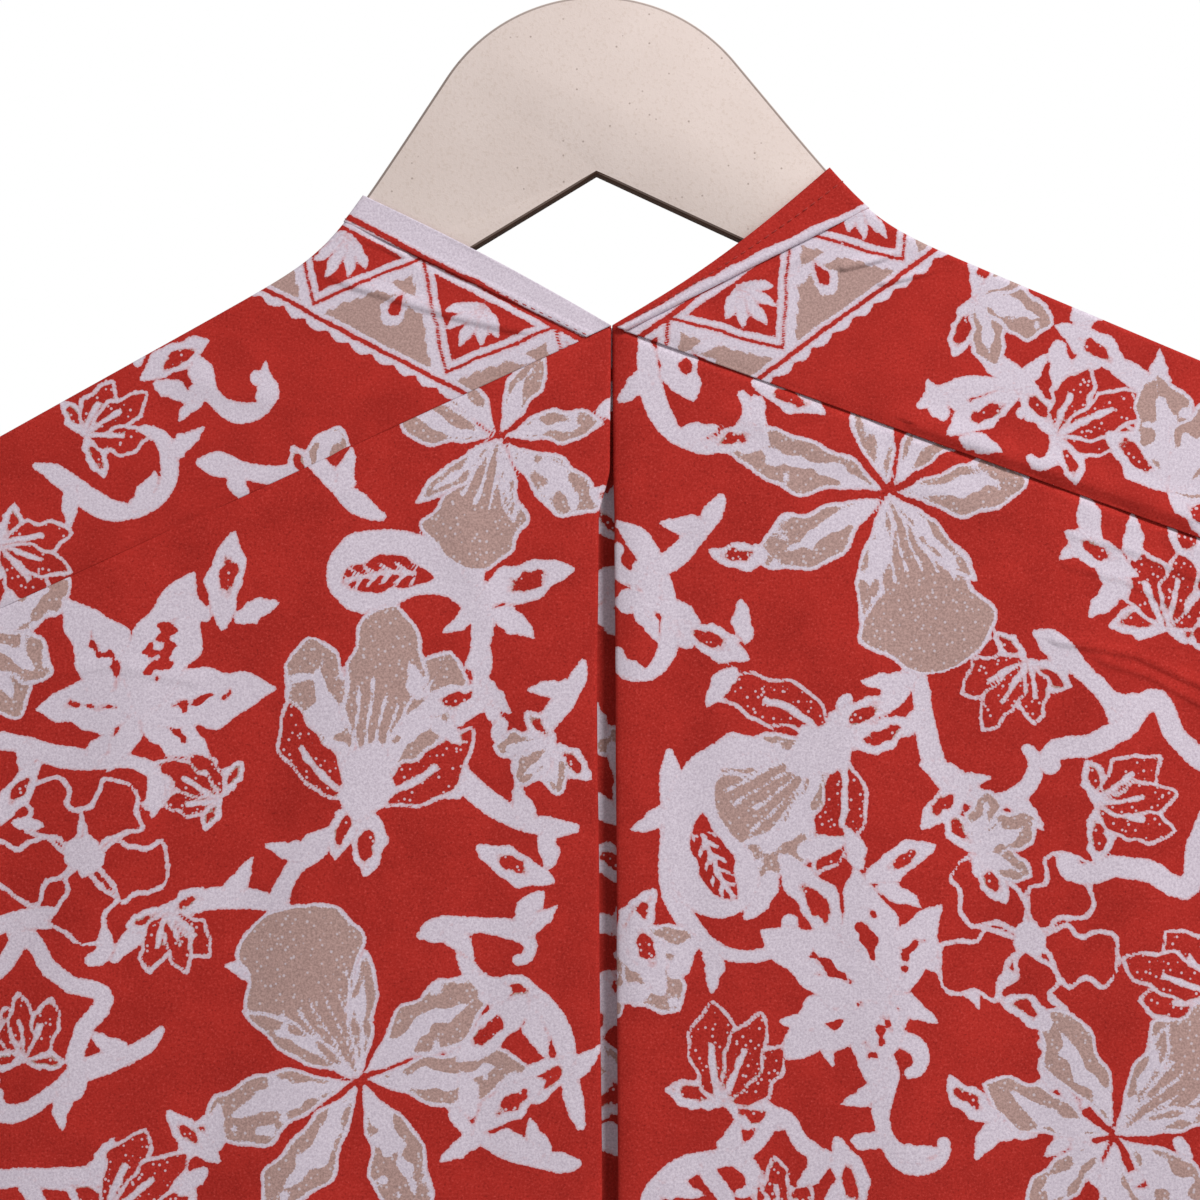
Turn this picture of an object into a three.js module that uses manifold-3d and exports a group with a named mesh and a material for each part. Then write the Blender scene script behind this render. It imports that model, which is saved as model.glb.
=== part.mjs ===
// A batik kaftan dress on a flat wooden hanger with a wire hook, hanging from that hook.
// Millimetres, +Z up. The back of the dress faces -Y, and X runs to the right of that view.
// The origin is the inside top of the hook. The hanger is rolled a little, its right end higher,
// and the cloth hangs plumb from it.
import * as THREE from "three";
import { mergeVertices } from "three/addons/utils/BufferGeometryUtils.js";
import Module from "manifold-3d";

const wasm = await Module();
wasm.setup();

// Driving dimensions.
const roll = THREE.MathUtils.degToRad(3.2);
const wall = 1.2; // the cloth's wall
const seamGap = 0.3; // between two pieces that are sewn together, and round the hook in its hole

const hookInside = 20; // radius inside the hook's bend
const wire = 3.6; // the hook's wire, across
const shankDepth = 20; // the hook's shank inside the plate

const plate = 8; // thickness of the hanger's plate
const domeRadius = 65;
const domeDrop = 127; // hang point to the centre of the dome
const flareSlope = 1.351; // fall of the shoulders beside the dome, per mm outward
const armSlope = 0.49; // fall of the arms
const armLine = { x: 144, z: -46 }; // a point on an arm's top edge, from the dome's centre
const shoulderBlend = 6; // how softly the flare runs into the arm
const throat = { z: 1, slope: 0.532, reach: 110 }; // the cut-out under the dome
const armReach = 226; // dome's centre line to an arm's end
const tipRadius = 12;

const foldHalf = 5.1; // half the depth of the cloth where it lies over the plate
const foldCorner = 1.2; // its bend at the plate's edges
const foldLift = 1.1; // mid-cloth above the plate's top edge

const neckHalf = { left: 84.5, right: 84 }; // from the dome's centre line to the neck, on the shoulder
const bandOut = { left: 7.5, right: 13.5 }; // the neck band's width where it crosses the shoulder
const bandFoot = { left: 9, right: 5 }; // and along the back seam
const centre = 12.5; // the plumb centre line of the dress
const neckSag = { left: -1.5, right: 3.5 }; // how far the back neck edge hangs below a straight line
const backPoint = -181; // the lowest point of the back neck
const frontPoint = -292; // the lowest point of the front neck
const frontBandDrop = 15; // the neck band's width, measured straight down at the front point
const frontSeamShare = 0.47; // where the front yoke seam meets the neck line, up from the point
const seamSlope = { left: 0.464, right: 0.362 }; // fall of the yoke seams outward

const bodyHalf = 225.6; // centre line to the armhole seam
const hemHalf = 330;
const hem = -1255;
const flareTop = -318; // the sides are plumb above this and flare below it
const flarePower = 1.15;
const armhole = 225; // depth of the armhole, straight down from the shoulder's end
const armholeTurn = 32; // length of its rounded bottom
const sideMeet = 0.27; // half the way between front and back at the side seam
const sideRound = 1.8; // how far the side's rounding runs in, in depths of the cloth

const swellTop = -150; // below this the front and back part slowly
const swell = 32; // and this much more at the hem
const swellPower = 1.3;

const pleatReturn = 35; // cloth folded back behind each edge of the back pleat
const pleatBend = 1; // radius of its folded edges
const returnBehind = 2; // the folded-back cloth, behind the panel
const underlayBehind = 3.5; // the pleat's underlay, behind the panel

// How far each edge of the pleat stands from the centre line, by the fall below the back point.
const pleatOpening = [
  { fall: 0, left: 0.2, right: 0.2 },
  { fall: 50, left: 0.6, right: 0.5 },
  { fall: 70, left: 4.6, right: 1 },
  { fall: 135, left: 5.2, right: 1.4 },
  { fall: 210, left: 4.4, right: 1.8 },
  { fall: 315, left: 3.4, right: 2.2 },
  { fall: 700, left: 9, right: 8 },
  { fall: 1080, left: 16, right: 15 },
];

// Soft upright flutes that grow to the hem: waves across half the width, their share and their phase.
const flutes = [
  { waves: 2.3, share: 1, phase: 0.6 },
  { waves: 3.7, share: 0.75, phase: 2.4 },
  { waves: 5.9, share: 0.4, phase: 4.1 },
];
const fluteTop = -330;
const fluteDepth = 6.5;
const flutePower = 1.4;
const fluteQuiet = 54; // the pleat's layers lie flat this far from the centre line
const fluteRise = 70; // and the flutes reach their depth over this much more

// The sleeve's upper and lower edges, from the shoulder's end and the underarm: outward and down.
const sleeveTop = [
  { out: 0, down: 0 },
  { out: 70, down: 45 },
  { out: 128, down: 180 },
];
const sleeveUnder = [
  { out: 0, down: 0 },
  { out: 22, down: 20 },
  { out: 56, down: 90 },
];
const cuffDepth = 36; // half the cuff's depth, front to back
const sleeveOpening = 0.45; // the share of its length over which the sleeve rounds out

const sides = { left: -1, right: 1 };
const wood = { color: 0xe0d0c8, roughness: 0.75, metalness: 0 };
const steel = { color: 0xb9bcbf, roughness: 0.3, metalness: 1 };
const redCloth = { color: 0xbe2d23, roughness: 0.85, metalness: 0 };
const paleCloth = { color: 0xdcd4e1, roughness: 0.85, metalness: 0 };

const dress = new THREE.Group();

function addMesh(name, geometry, finish) {
  const mesh = new THREE.Mesh(geometry, new THREE.MeshStandardMaterial(finish));
  mesh.name = name;
  dress.add(mesh);
  return mesh;
}

const mix = (a, b, t) => a + (b - a) * t;
const clamp = (value) => Math.min(1, Math.max(0, value));
const ease = (value) => clamp(value) ** 2 * (3 - 2 * clamp(value));

// ---- The hanger's outline, in its own upright frame, from the dome's centre ----

// The height of the top edge beside the dome: a steep flare that runs softly into the arm.
function armTop(x) {
  const leave = Math.atan(flareSlope);
  const out = x - domeRadius * Math.sin(leave);
  const flare = domeRadius * Math.cos(leave) - flareSlope * out;
  const arm = armLine.z - armSlope * (x - armLine.x);
  return arm + shoulderBlend * Math.log(1 + Math.exp((flare - arm) / shoulderBlend));
}

function armBottom(x) {
  const inner = throat.z - throat.slope * Math.min(x, throat.reach);
  return inner - armSlope * Math.max(0, x - throat.reach);
}

// From the hanger's frame, measured from the hang point, to the plumb frame of the dress.
function rolled(x, z) {
  return {
    x: x * Math.cos(roll) - z * Math.sin(roll),
    z: x * Math.sin(roll) + z * Math.cos(roll),
  };
}

function plateOutline() {
  const leave = Math.atan(flareSlope);
  const half = [];
  const domeSteps = 14;
  for (let i = 0; i <= domeSteps; i++) {
    const angle = (leave * i) / domeSteps;
    half.push([domeRadius * Math.sin(angle), domeRadius * Math.cos(angle)]);
  }
  const edgeEnd = armReach - tipRadius;
  const edgeStart = domeRadius * Math.sin(leave);
  const edgeSteps = 14;
  for (let i = 1; i <= edgeSteps; i++) {
    const x = mix(edgeStart, edgeEnd, (i / edgeSteps) ** 1.2);
    half.push([x, armTop(x)]);
  }
  // The end is a half ellipse between the arm's top and bottom edges.
  const tipSteps = 8;
  for (let i = 1; i < tipSteps; i++) {
    const angle = (Math.PI * i) / tipSteps;
    const x = edgeEnd + tipRadius * Math.sin(angle);
    const middle = (armTop(x) + armBottom(x)) / 2;
    const reach = (armTop(x) - armBottom(x)) / 2;
    half.push([x, middle + reach * Math.cos(angle)]);
  }
  half.push([edgeEnd, armBottom(edgeEnd)]);
  half.push([throat.reach, armBottom(throat.reach)]);
  const right = half.map(([x, z]) => new THREE.Vector2(x, z - domeDrop));
  const left = half
    .slice(1)
    .reverse()
    .map(([x, z]) => new THREE.Vector2(-x, z - domeDrop));
  return [...right, new THREE.Vector2(0, throat.z - domeDrop), ...left];
}

// ---- Booleans ----

function toSolid(geometry) {
  const bare = geometry.clone();
  bare.deleteAttribute("normal");
  bare.deleteAttribute("uv");
  const merged = mergeVertices(bare);
  return new wasm.Manifold(
    new wasm.Mesh({
      numProp: 3,
      vertProperties: merged.attributes.position.array,
      triVerts: new Uint32Array(merged.index.array),
    }),
  );
}

function toGeometry(solid) {
  const mesh = solid.getMesh();
  const geometry = new THREE.BufferGeometry();
  geometry.setAttribute("position", new THREE.BufferAttribute(mesh.vertProperties, 3));
  geometry.setIndex(new THREE.BufferAttribute(mesh.triVerts, 1));
  geometry.computeVertexNormals();
  return geometry;
}

// ---- The hanger ----

function makeHangerPlate() {
  const shape = new THREE.Shape(plateOutline());
  const slab = new THREE.ExtrudeGeometry(shape, { depth: plate, bevelEnabled: false });
  slab.rotateX(Math.PI / 2);
  slab.translate(0, plate / 2, 0);
  const boreLength = shankDepth + seamGap;
  const boreRadius = wire / 2 + seamGap;
  const bore = new THREE.CylinderGeometry(boreRadius, boreRadius, boreLength * 2, 16);
  bore.rotateX(Math.PI / 2);
  bore.translate(0, 0, domeRadius - domeDrop);
  const drilled = toSolid(slab).subtract(toSolid(bore));
  addMesh("hanger_plate", toGeometry(drilled), wood).rotation.y = -roll;
}

// The wire's centre line: round over the hang point, back to the axis, and down into the plate.
function hookLine() {
  const bend = hookInside + wire / 2;
  const open = THREE.MathUtils.degToRad(205);
  const close = THREE.MathUtils.degToRad(-65);
  const points = [];
  const bendSteps = 26;
  for (let i = 0; i <= bendSteps; i++) {
    const angle = mix(open, close, i / bendSteps);
    points.push([bend * Math.cos(angle), bend * Math.sin(angle) - hookInside]);
  }
  const [x, z] = points[bendSteps];
  const turn = -close;
  const radius = x / (1 - Math.cos(turn));
  const shankTop = z - radius * Math.sin(turn);
  const turnSteps = 7;
  for (let i = 1; i <= turnSteps; i++) {
    const angle = mix(Math.PI - turn, Math.PI, i / turnSteps);
    points.push([radius + radius * Math.cos(angle), shankTop + radius * Math.sin(angle)]);
  }
  const shankEnd = domeRadius - domeDrop - shankDepth;
  const shankSteps = 6;
  for (let i = 1; i <= shankSteps; i++) {
    points.push([0, mix(shankTop, shankEnd, i / shankSteps)]);
  }
  return new THREE.CatmullRomCurve3(points.map(([px, pz]) => new THREE.Vector3(px, 0, pz)));
}

function makeHangerHook() {
  const section = new THREE.Shape();
  section.absarc(0, 0, wire / 2, 0, Math.PI * 2);
  const geometry = new THREE.ExtrudeGeometry(section, {
    steps: 48,
    curveSegments: 5,
    extrudePath: hookLine(),
    bevelEnabled: false,
  });
  addMesh("hanger_hook", geometry, steel).rotation.y = -roll;
}

// ---- Cloth: a wall around a grid of points ----

function normalAt(grid, i, j, closed) {
  const last = grid.length - 1;
  const before = closed ? grid[(i + last) % (last + 1)] : grid[Math.max(0, i - 1)];
  const after = closed ? grid[(i + 1) % (last + 1)] : grid[Math.min(last, i + 1)];
  const along = after[j].clone().sub(before[j]);
  const row = grid[i];
  const across = row[Math.min(row.length - 1, j + 1)].clone().sub(row[Math.max(0, j - 1)]);
  return along.cross(across).normalize();
}

function volumeOf(positions, faces) {
  const a = new THREE.Vector3();
  const b = new THREE.Vector3();
  const c = new THREE.Vector3();
  let sum = 0;
  for (let i = 0; i < faces.length; i += 3) {
    a.fromArray(positions, faces[i] * 3);
    b.fromArray(positions, faces[i + 1] * 3);
    c.fromArray(positions, faces[i + 2] * 3);
    sum += a.dot(b.cross(c));
  }
  return sum;
}

// grid[i][j] is the middle of the cloth. A closed grid joins its last column to its first.
function clothWall(grid, closed = false) {
  const rows = grid[0].length;
  const columns = grid.length;
  const positions = [];
  const faces = [];
  const outer = (i, j) => (i % columns) * rows + j;
  const inner = (i, j) => columns * rows + outer(i, j);
  for (const sign of [0.5, -0.5]) {
    for (let i = 0; i < columns; i++) {
      for (let j = 0; j < rows; j++) {
        const normal = normalAt(grid, i, j, closed);
        positions.push(...grid[i][j].clone().addScaledVector(normal, sign * wall).toArray());
      }
    }
  }
  const quad = (a, b, c, d) => faces.push(a, b, c, a, c, d);
  const spans = closed ? columns : columns - 1;
  for (let i = 0; i < spans; i++) {
    for (let j = 0; j < rows - 1; j++) {
      quad(outer(i, j), outer(i + 1, j), outer(i + 1, j + 1), outer(i, j + 1));
      quad(inner(i, j), inner(i, j + 1), inner(i + 1, j + 1), inner(i + 1, j));
    }
    quad(outer(i, 0), inner(i, 0), inner(i + 1, 0), outer(i + 1, 0));
    const end = rows - 1;
    quad(outer(i, end), outer(i + 1, end), inner(i + 1, end), inner(i, end));
  }
  if (!closed) {
    const end = columns - 1;
    for (let j = 0; j < rows - 1; j++) {
      quad(outer(0, j), outer(0, j + 1), inner(0, j + 1), inner(0, j));
      quad(outer(end, j), inner(end, j), inner(end, j + 1), outer(end, j + 1));
    }
  }
  if (volumeOf(positions, faces) < 0) faces.reverse();
  const geometry = new THREE.BufferGeometry();
  geometry.setAttribute("position", new THREE.Float32BufferAttribute(positions, 3));
  geometry.setIndex(faces);
  geometry.computeVertexNormals();
  return geometry;
}

// ---- The form of the cloth ----

// A point on the shoulder line, over the hanger's arm, by its distance from the dome's centre line.
function shoulder(side, reach) {
  const fall = armTop(reach - 0.5) - armTop(reach + 0.5);
  const lift = foldLift * Math.hypot(1, fall);
  return rolled(sides[side] * reach, armTop(reach) + lift - domeDrop);
}

const tip = { left: shoulder("left", armReach), right: shoulder("right", armReach) };

function halfWidth(z) {
  const fall = Math.max(0, flareTop - z) / (flareTop - hem);
  return bodyHalf + (hemHalf - bodyHalf) * fall ** flarePower;
}

const sideLine = (side, z) => (tip.left.x + tip.right.x) / 2 + sides[side] * halfWidth(z);
const seamLine = (side, x) => backPoint - seamSlope[side] * Math.abs(x - centre);
const swellAt = (z) => swell * clamp((swellTop - z) / (swellTop - hem)) ** swellPower;

function fluteAt(face, x, z) {
  const grown = fluteDepth * clamp((fluteTop - z) / (fluteTop - hem)) ** flutePower;
  const across = (x - centre) / halfWidth(z);
  let sum = 0;
  for (const { waves, share, phase } of flutes) {
    sum += share * Math.sin(Math.PI * waves * across + phase + face);
  }
  return grown * sum * ease((Math.abs(x - centre) - fluteQuiet) / fluteRise);
}

// The cloth's depth below the yoke: it swells, flutes, and closes at the side below the armhole.
function bodyDepth(side, face, x, z) {
  const open = foldHalf + swellAt(z) + fluteAt(face, x, z);
  const fromSide = Math.abs(sideLine(side, z) - x);
  const round = sideRound * (foldHalf + swellAt(z));
  const closing = clamp((tip[side].z - z - (armhole - armholeTurn)) / armholeTurn);
  const pinch = closing * Math.max(0, 1 - fromSide / round);
  return sideMeet + (open - sideMeet) * Math.sqrt(Math.max(0, 1 - pinch ** 2));
}

// Steps down one side of a yoke column: over the plate's edge, then down to the seam.
function yokeSteps(length) {
  const steps = [];
  for (const angle of [0, 45, 90]) {
    const bend = THREE.MathUtils.degToRad(angle);
    steps.push({
      depth: foldHalf - foldCorner * (1 - Math.sin(bend)),
      fall: foldCorner * (1 - Math.cos(bend)),
    });
  }
  const straight = 4;
  for (let i = 1; i <= straight; i++) {
    steps.push({ depth: foldHalf, fall: mix(foldCorner, length, i / straight) });
  }
  return steps;
}

// A column of cloth from the back seam, over the shoulder, to the front seam.
function yokeColumn(top, back, front) {
  const column = [new THREE.Vector3(top.x, 0, top.z)];
  for (const [face, foot] of [[-1, back], [1, front]]) {
    const length = top.z - foot.z;
    for (const { depth, fall } of yokeSteps(length)) {
      const share = fall / length;
      const x = mix(top.x, foot.x, share);
      const y = face * (depth + swellAt(foot.z) * ease(share));
      const point = new THREE.Vector3(x, y, top.z - fall);
      if (face < 0) column.unshift(point);
      else column.push(point);
    }
  }
  return column;
}

// The corners of one side's neck band and yoke, on the back and on the front.
function neckCorners(side) {
  const out = sides[side];
  const edge = { x: centre + (out * seamGap) / 2, z: backPoint + seamGap / 2 };
  const bandBack = centre + out * bandFoot[side];
  const top = shoulder(side, neckHalf[side]);
  const bandTop = shoulder(side, neckHalf[side] + bandOut[side]);
  const frontEdge = { x: edge.x, z: frontPoint };
  const frontBand = { x: edge.x, z: frontPoint - frontBandDrop };
  return {
    top,
    bandTop,
    back: edge,
    bandBack: { x: bandBack, z: seamLine(side, bandBack) + seamGap / 2 },
    front: frontEdge,
    bandFront: frontBand,
  };
}

// Where the front yoke seam leaves the neck band, and how it falls to the armhole.
function frontSeam(side) {
  const { bandTop, bandFront } = neckCorners(side);
  const start = {
    x: mix(bandFront.x, bandTop.x, frontSeamShare),
    z: mix(bandFront.z, bandTop.z, frontSeamShare),
  };
  return (x) => ({ x, z: start.z - seamSlope[side] * Math.abs(x - start.x), start });
}

function makeNeckBand(side) {
  const corners = neckCorners(side);
  const grid = [];
  const strips = 2;
  for (let i = 0; i <= strips; i++) {
    const share = i / strips;
    const between = (a, b) => ({ x: mix(a.x, b.x, share), z: mix(a.z, b.z, share) });
    const top = shoulder(side, neckHalf[side] + bandOut[side] * share);
    const back = between(corners.back, corners.bandBack);
    const column = yokeColumn(top, back, between(corners.front, corners.bandFront));
    for (const point of column) {
      const fallen = (top.z - point.z) / (top.z - back.z);
      const sag = neckSag[side] * (1 - share) * Math.sin(Math.PI * clamp(fallen));
      if (point.y < 0) point.z -= sag;
    }
    grid.push(column);
  }
  addMesh(`neck_band_${side}`, clothWall(grid), side === "left" ? paleCloth : redCloth);
}

function makeYoke(side) {
  const { bandTop, bandBack } = neckCorners(side);
  const out = sides[side] * seamGap;
  const seamAt = frontSeam(side);
  const seamStart = seamAt(0).start;
  const grid = [];
  const columns = 12;
  for (let i = 0; i <= columns; i++) {
    const share = (i / columns) ** 1.15;
    const reach = mix(neckHalf[side] + bandOut[side], armReach, share);
    const top = shoulder(side, reach);
    const backX = mix(bandBack.x, sideLine(side, tip[side].z), share);
    const frontX = mix(seamStart.x, sideLine(side, tip[side].z), share);
    const back = { x: backX, z: seamLine(side, backX) + seamGap / 2 };
    const front = { x: frontX, z: seamAt(frontX).z + seamGap / 2 };
    // The neck side stands clear of the band.
    const clear = (point) => ({ x: point.x + out * (1 - share), z: point.z });
    grid.push(yokeColumn(clear(top), clear(back), clear(front)));
  }
  addMesh(`yoke_${side}`, clothWall(grid), redCloth);
}

// ---- The back, with its inverted pleat ----

function pleatEdge(side, z) {
  const fall = clamp((backPoint - z) / (backPoint - hem)) * (backPoint - hem);
  const next = Math.max(1, pleatOpening.findIndex((row) => row.fall >= fall));
  const a = pleatOpening[next - 1];
  const b = pleatOpening[next];
  const opening = mix(a[side], b[side], ease((fall - a.fall) / (b.fall - a.fall)));
  return centre + sides[side] * (opening + wall / 2);
}

// Columns crowd towards the side, where the panel turns to meet its neighbour edge to edge.
const sideCrowding = 2.2;

// Rows crowd where the panel hangs from its seam, and spread towards the hem.
const rowShare = (j, rows) => mix(j / rows, (j / rows) ** 2, 0.35);

// Finds the height where a column that leans with the side crosses its top edge.
function topOf(xAt, edgeAt) {
  let z = backPoint;
  for (let pass = 0; pass < 6; pass++) z = edgeAt(xAt(z));
  return z;
}

function makeBack(side) {
  const out = sides[side];
  const columns = 13;
  const rows = 18;
  // Each entry gives x and the distance behind the panel's own face.
  const stations = [
    { at: (z) => pleatEdge(side, z) + out * pleatReturn, behind: returnBehind },
    { at: (z) => pleatEdge(side, z) + out * pleatBend, behind: returnBehind },
    { at: (z) => pleatEdge(side, z), behind: returnBehind / 2 },
    { at: (z) => pleatEdge(side, z) + out * pleatBend, behind: 0 },
  ];
  for (let i = 1; i <= columns; i++) {
    const share = i / columns;
    const spread = 1 - (1 - share) ** sideCrowding;
    const start = (z) => pleatEdge(side, z) + out * pleatBend;
    stations.push({ at: (z) => mix(start(z), sideLine(side, z), spread), behind: 0 });
  }
  const grid = stations.map(({ at, behind }) => {
    const top = topOf(at, (x) => seamLine(side, x)) - seamGap / 2;
    const column = [];
    for (let j = 0; j <= rows; j++) {
      const z = mix(top, hem, rowShare(j, rows));
      const x = at(z);
      column.push(new THREE.Vector3(x, behind - bodyDepth(side, -1, x, z), z));
    }
    return column;
  });
  addMesh(`back_${side}`, clothWall(grid), redCloth);
}

function makePleatUnderlay() {
  const columns = 6;
  const rows = 18;
  const grid = [];
  for (let i = 0; i <= columns; i++) {
    const across = (2 * i) / columns - 1;
    const side = across < 0 ? "left" : "right";
    const reach = (z) => Math.abs(pleatEdge(side, z) - centre) + pleatReturn;
    const at = (z) => centre + across * reach(z);
    const top = topOf(at, (x) => seamLine(side, x)) - seamGap / 2;
    const column = [];
    for (let j = 0; j <= rows; j++) {
      const z = mix(top, hem, rowShare(j, rows));
      const x = at(z);
      column.push(new THREE.Vector3(x, underlayBehind - bodyDepth(side, -1, x, z), z));
    }
    grid.push(column);
  }
  addMesh("back_pleat_underlay", clothWall(grid), redCloth);
}

// ---- The front, in one piece with a deeper neck ----

function makeFront() {
  const rows = 18;
  const neckColumns = 3;
  const sideColumns = 10;
  const grid = [];
  for (const side of ["left", "right"]) {
    const { bandFront } = neckCorners(side);
    const seamAt = frontSeam(side);
    const start = seamAt(0).start;
    const neckShare = (start.x - centre) / (sideLine(side, start.z) - centre);
    // Straight down, the gap is longer beside the steep neck line.
    const neckFall = (start.z - bandFront.z) / (start.x - bandFront.x);
    const neckGap = seamGap * Math.hypot(1, neckFall);
    const edgeAt = (x) => {
      const inNeck = clamp((x - centre) / (start.x - centre));
      if (inNeck < 1) return mix(bandFront.z, start.z, inNeck) - neckGap;
      return seamAt(x).z - neckGap;
    };
    const shares = [];
    for (let i = 1; i <= neckColumns; i++) shares.push((neckShare * i) / neckColumns);
    for (let i = 1; i <= sideColumns; i++) {
      shares.push(mix(neckShare, 1, 1 - (1 - i / sideColumns) ** sideCrowding));
    }
    const columnAt = (share) => {
      const at = (z) => mix(centre, sideLine(side, z), share);
      const top = topOf(at, edgeAt);
      const column = [];
      for (let j = 0; j <= rows; j++) {
        const z = mix(top, hem, rowShare(j, rows));
        const x = at(z);
        column.push(new THREE.Vector3(x, bodyDepth(side, 1, x, z), z));
      }
      return column;
    };
    if (side === "left") {
      grid.push(columnAt(0));
      for (const share of shares) grid.unshift(columnAt(share));
    } else {
      for (const share of shares) grid.push(columnAt(share));
    }
  }
  addMesh("front", clothWall(grid), redCloth);
}

// ---- The sleeves ----

// The armhole, from the shoulder down the back, round the underarm and up the front.
function armholeRing(side) {
  const ring = [{ depth: 0, fall: 0 }];
  for (const { depth, fall } of yokeSteps(1).slice(0, 3)) ring.push({ depth, fall });
  const downSteps = 9;
  for (let i = 1; i <= downSteps; i++) {
    const share = 1 - (1 - i / downSteps) ** 1.3;
    const fall = mix(foldCorner, armhole, share);
    const z = tip[side].z - fall;
    const depth = bodyDepth(side, -1, sideLine(side, z), z);
    ring.push({ depth: i === downSteps ? 0 : depth, fall });
  }
  const front = ring.slice(1, -1).reverse();
  return [
    ...ring.map(({ depth, fall }) => ({ y: -depth, fall })),
    ...front.map(({ depth, fall }) => ({ y: depth, fall })),
  ];
}

function bezier(table, t) {
  const [a, b, c] = table;
  const blend = (key) => (1 - t) ** 2 * a[key] + 2 * t * (1 - t) * b[key] + t ** 2 * c[key];
  return { out: blend("out"), down: blend("down") };
}

function makeSleeve(side) {
  const ring = armholeRing(side);
  const out = sides[side];
  const lengths = 8;
  const start = seamGap + wall / 2;
  const grid = ring.map(({ y, fall }, index) => {
    const turn = (2 * Math.PI * index) / ring.length;
    const column = [];
    for (let j = 0; j <= lengths; j++) {
      const along = j / lengths;
      const round = ease(along / sleeveOpening);
      const share = mix(fall / armhole, (1 - Math.cos(turn)) / 2, round);
      const top = bezier(sleeveTop, along);
      const under = bezier(sleeveUnder, along);
      const z0 = tip[side].z - share * armhole;
      const x = sideLine(side, z0) + out * (start + mix(top.out, under.out, share));
      const z = z0 - mix(top.down, under.down, share);
      const depth = -Math.sin(turn) * mix(foldHalf, cuffDepth, ease(along));
      column.push(new THREE.Vector3(x, mix(y, depth, round), z));
    }
    return column;
  });
  addMesh(`sleeve_${side}`, clothWall(grid, true), redCloth);
}

makeHangerPlate();
makeHangerHook();
for (const side of ["left", "right"]) {
  makeNeckBand(side);
  makeYoke(side);
  makeBack(side);
  makeSleeve(side);
}
makePleatUnderlay();
makeFront();

export default dress;
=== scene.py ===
import math

import bmesh
import bpy
import numpy as np
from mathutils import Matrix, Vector


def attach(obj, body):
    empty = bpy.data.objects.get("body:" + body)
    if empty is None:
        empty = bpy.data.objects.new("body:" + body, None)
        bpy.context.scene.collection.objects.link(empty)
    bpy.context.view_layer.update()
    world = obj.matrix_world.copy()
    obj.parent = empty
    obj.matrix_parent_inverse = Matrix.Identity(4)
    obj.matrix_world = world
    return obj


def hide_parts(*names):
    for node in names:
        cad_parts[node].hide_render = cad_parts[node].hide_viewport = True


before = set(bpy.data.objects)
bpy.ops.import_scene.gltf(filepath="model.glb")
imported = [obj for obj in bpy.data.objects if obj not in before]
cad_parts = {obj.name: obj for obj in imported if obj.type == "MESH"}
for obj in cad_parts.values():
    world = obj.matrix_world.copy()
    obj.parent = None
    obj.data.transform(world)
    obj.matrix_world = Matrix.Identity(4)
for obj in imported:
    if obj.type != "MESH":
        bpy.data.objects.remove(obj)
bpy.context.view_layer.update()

# ---- Camera, light and floor ----
# A level camera faces the back of the dress, squared up on the neck. The light is broad and soft,
# from the front, above and a little right, in a white room with a pale floor under the hem.
VIEW_ANGLE = 32.13  # degrees, across the picture


def add_object(name, data):
    made = bpy.data.objects.new(name, data)
    bpy.context.scene.collection.objects.link(made)
    return made


def new_mesh(name, points, faces):
    """A mesh of points in mm."""
    mesh = bpy.data.meshes.new(name)
    mesh.from_pydata((np.array(points) / 1000).tolist(), [], faces)
    return mesh


camera = add_object("camera", bpy.data.cameras.new("camera"))
camera.data.sensor_width = 36
camera.data.lens = 18 / math.tan(math.radians(VIEW_ANGLE) / 2)
camera.location = (0.0083, -0.756, -0.2798)
camera.rotation_euler = (math.radians(90), 0, 0)
bpy.context.scene.camera = camera
bpy.context.scene.view_settings.view_transform = "Standard"

world = bpy.data.worlds.new("white_room")
bpy.context.scene.world = world
world.use_nodes = True
backdrop = world.node_tree.nodes["Background"]
backdrop.inputs["Color"].default_value = (1, 1, 1, 1)
seen = world.node_tree.nodes.new("ShaderNodeLightPath").outputs["Is Camera Ray"]
level = world.node_tree.nodes.new("ShaderNodeMath")
level.operation = "MULTIPLY_ADD"
level.inputs[1].default_value = 0.54
level.inputs[2].default_value = 0.46  # the room's light on the dress; the backdrop itself is white
world.node_tree.links.new(seen, level.inputs[0])
world.node_tree.links.new(level.outputs[0], backdrop.inputs["Strength"])

lamp = add_object("key_light", bpy.data.lights.new("key_light", "AREA"))
lamp.data.shape = "DISK"
lamp.data.size = 0.7
lamp.data.energy = 23
lamp.location = (0.95, -1.02, 0.88)
lamp.rotation_euler = (Vector((0, 0, -0.3)) - lamp.location).to_track_quat("-Z", "Y").to_euler()

floor_corners = [(x, y, -1600) for x, y in ((-6000, -6000), (6000, -6000), (6000, 6000), (-6000, 6000))]
floor = add_object("floor", new_mesh("floor", floor_corners, [(0, 1, 2, 3)]))


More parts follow.
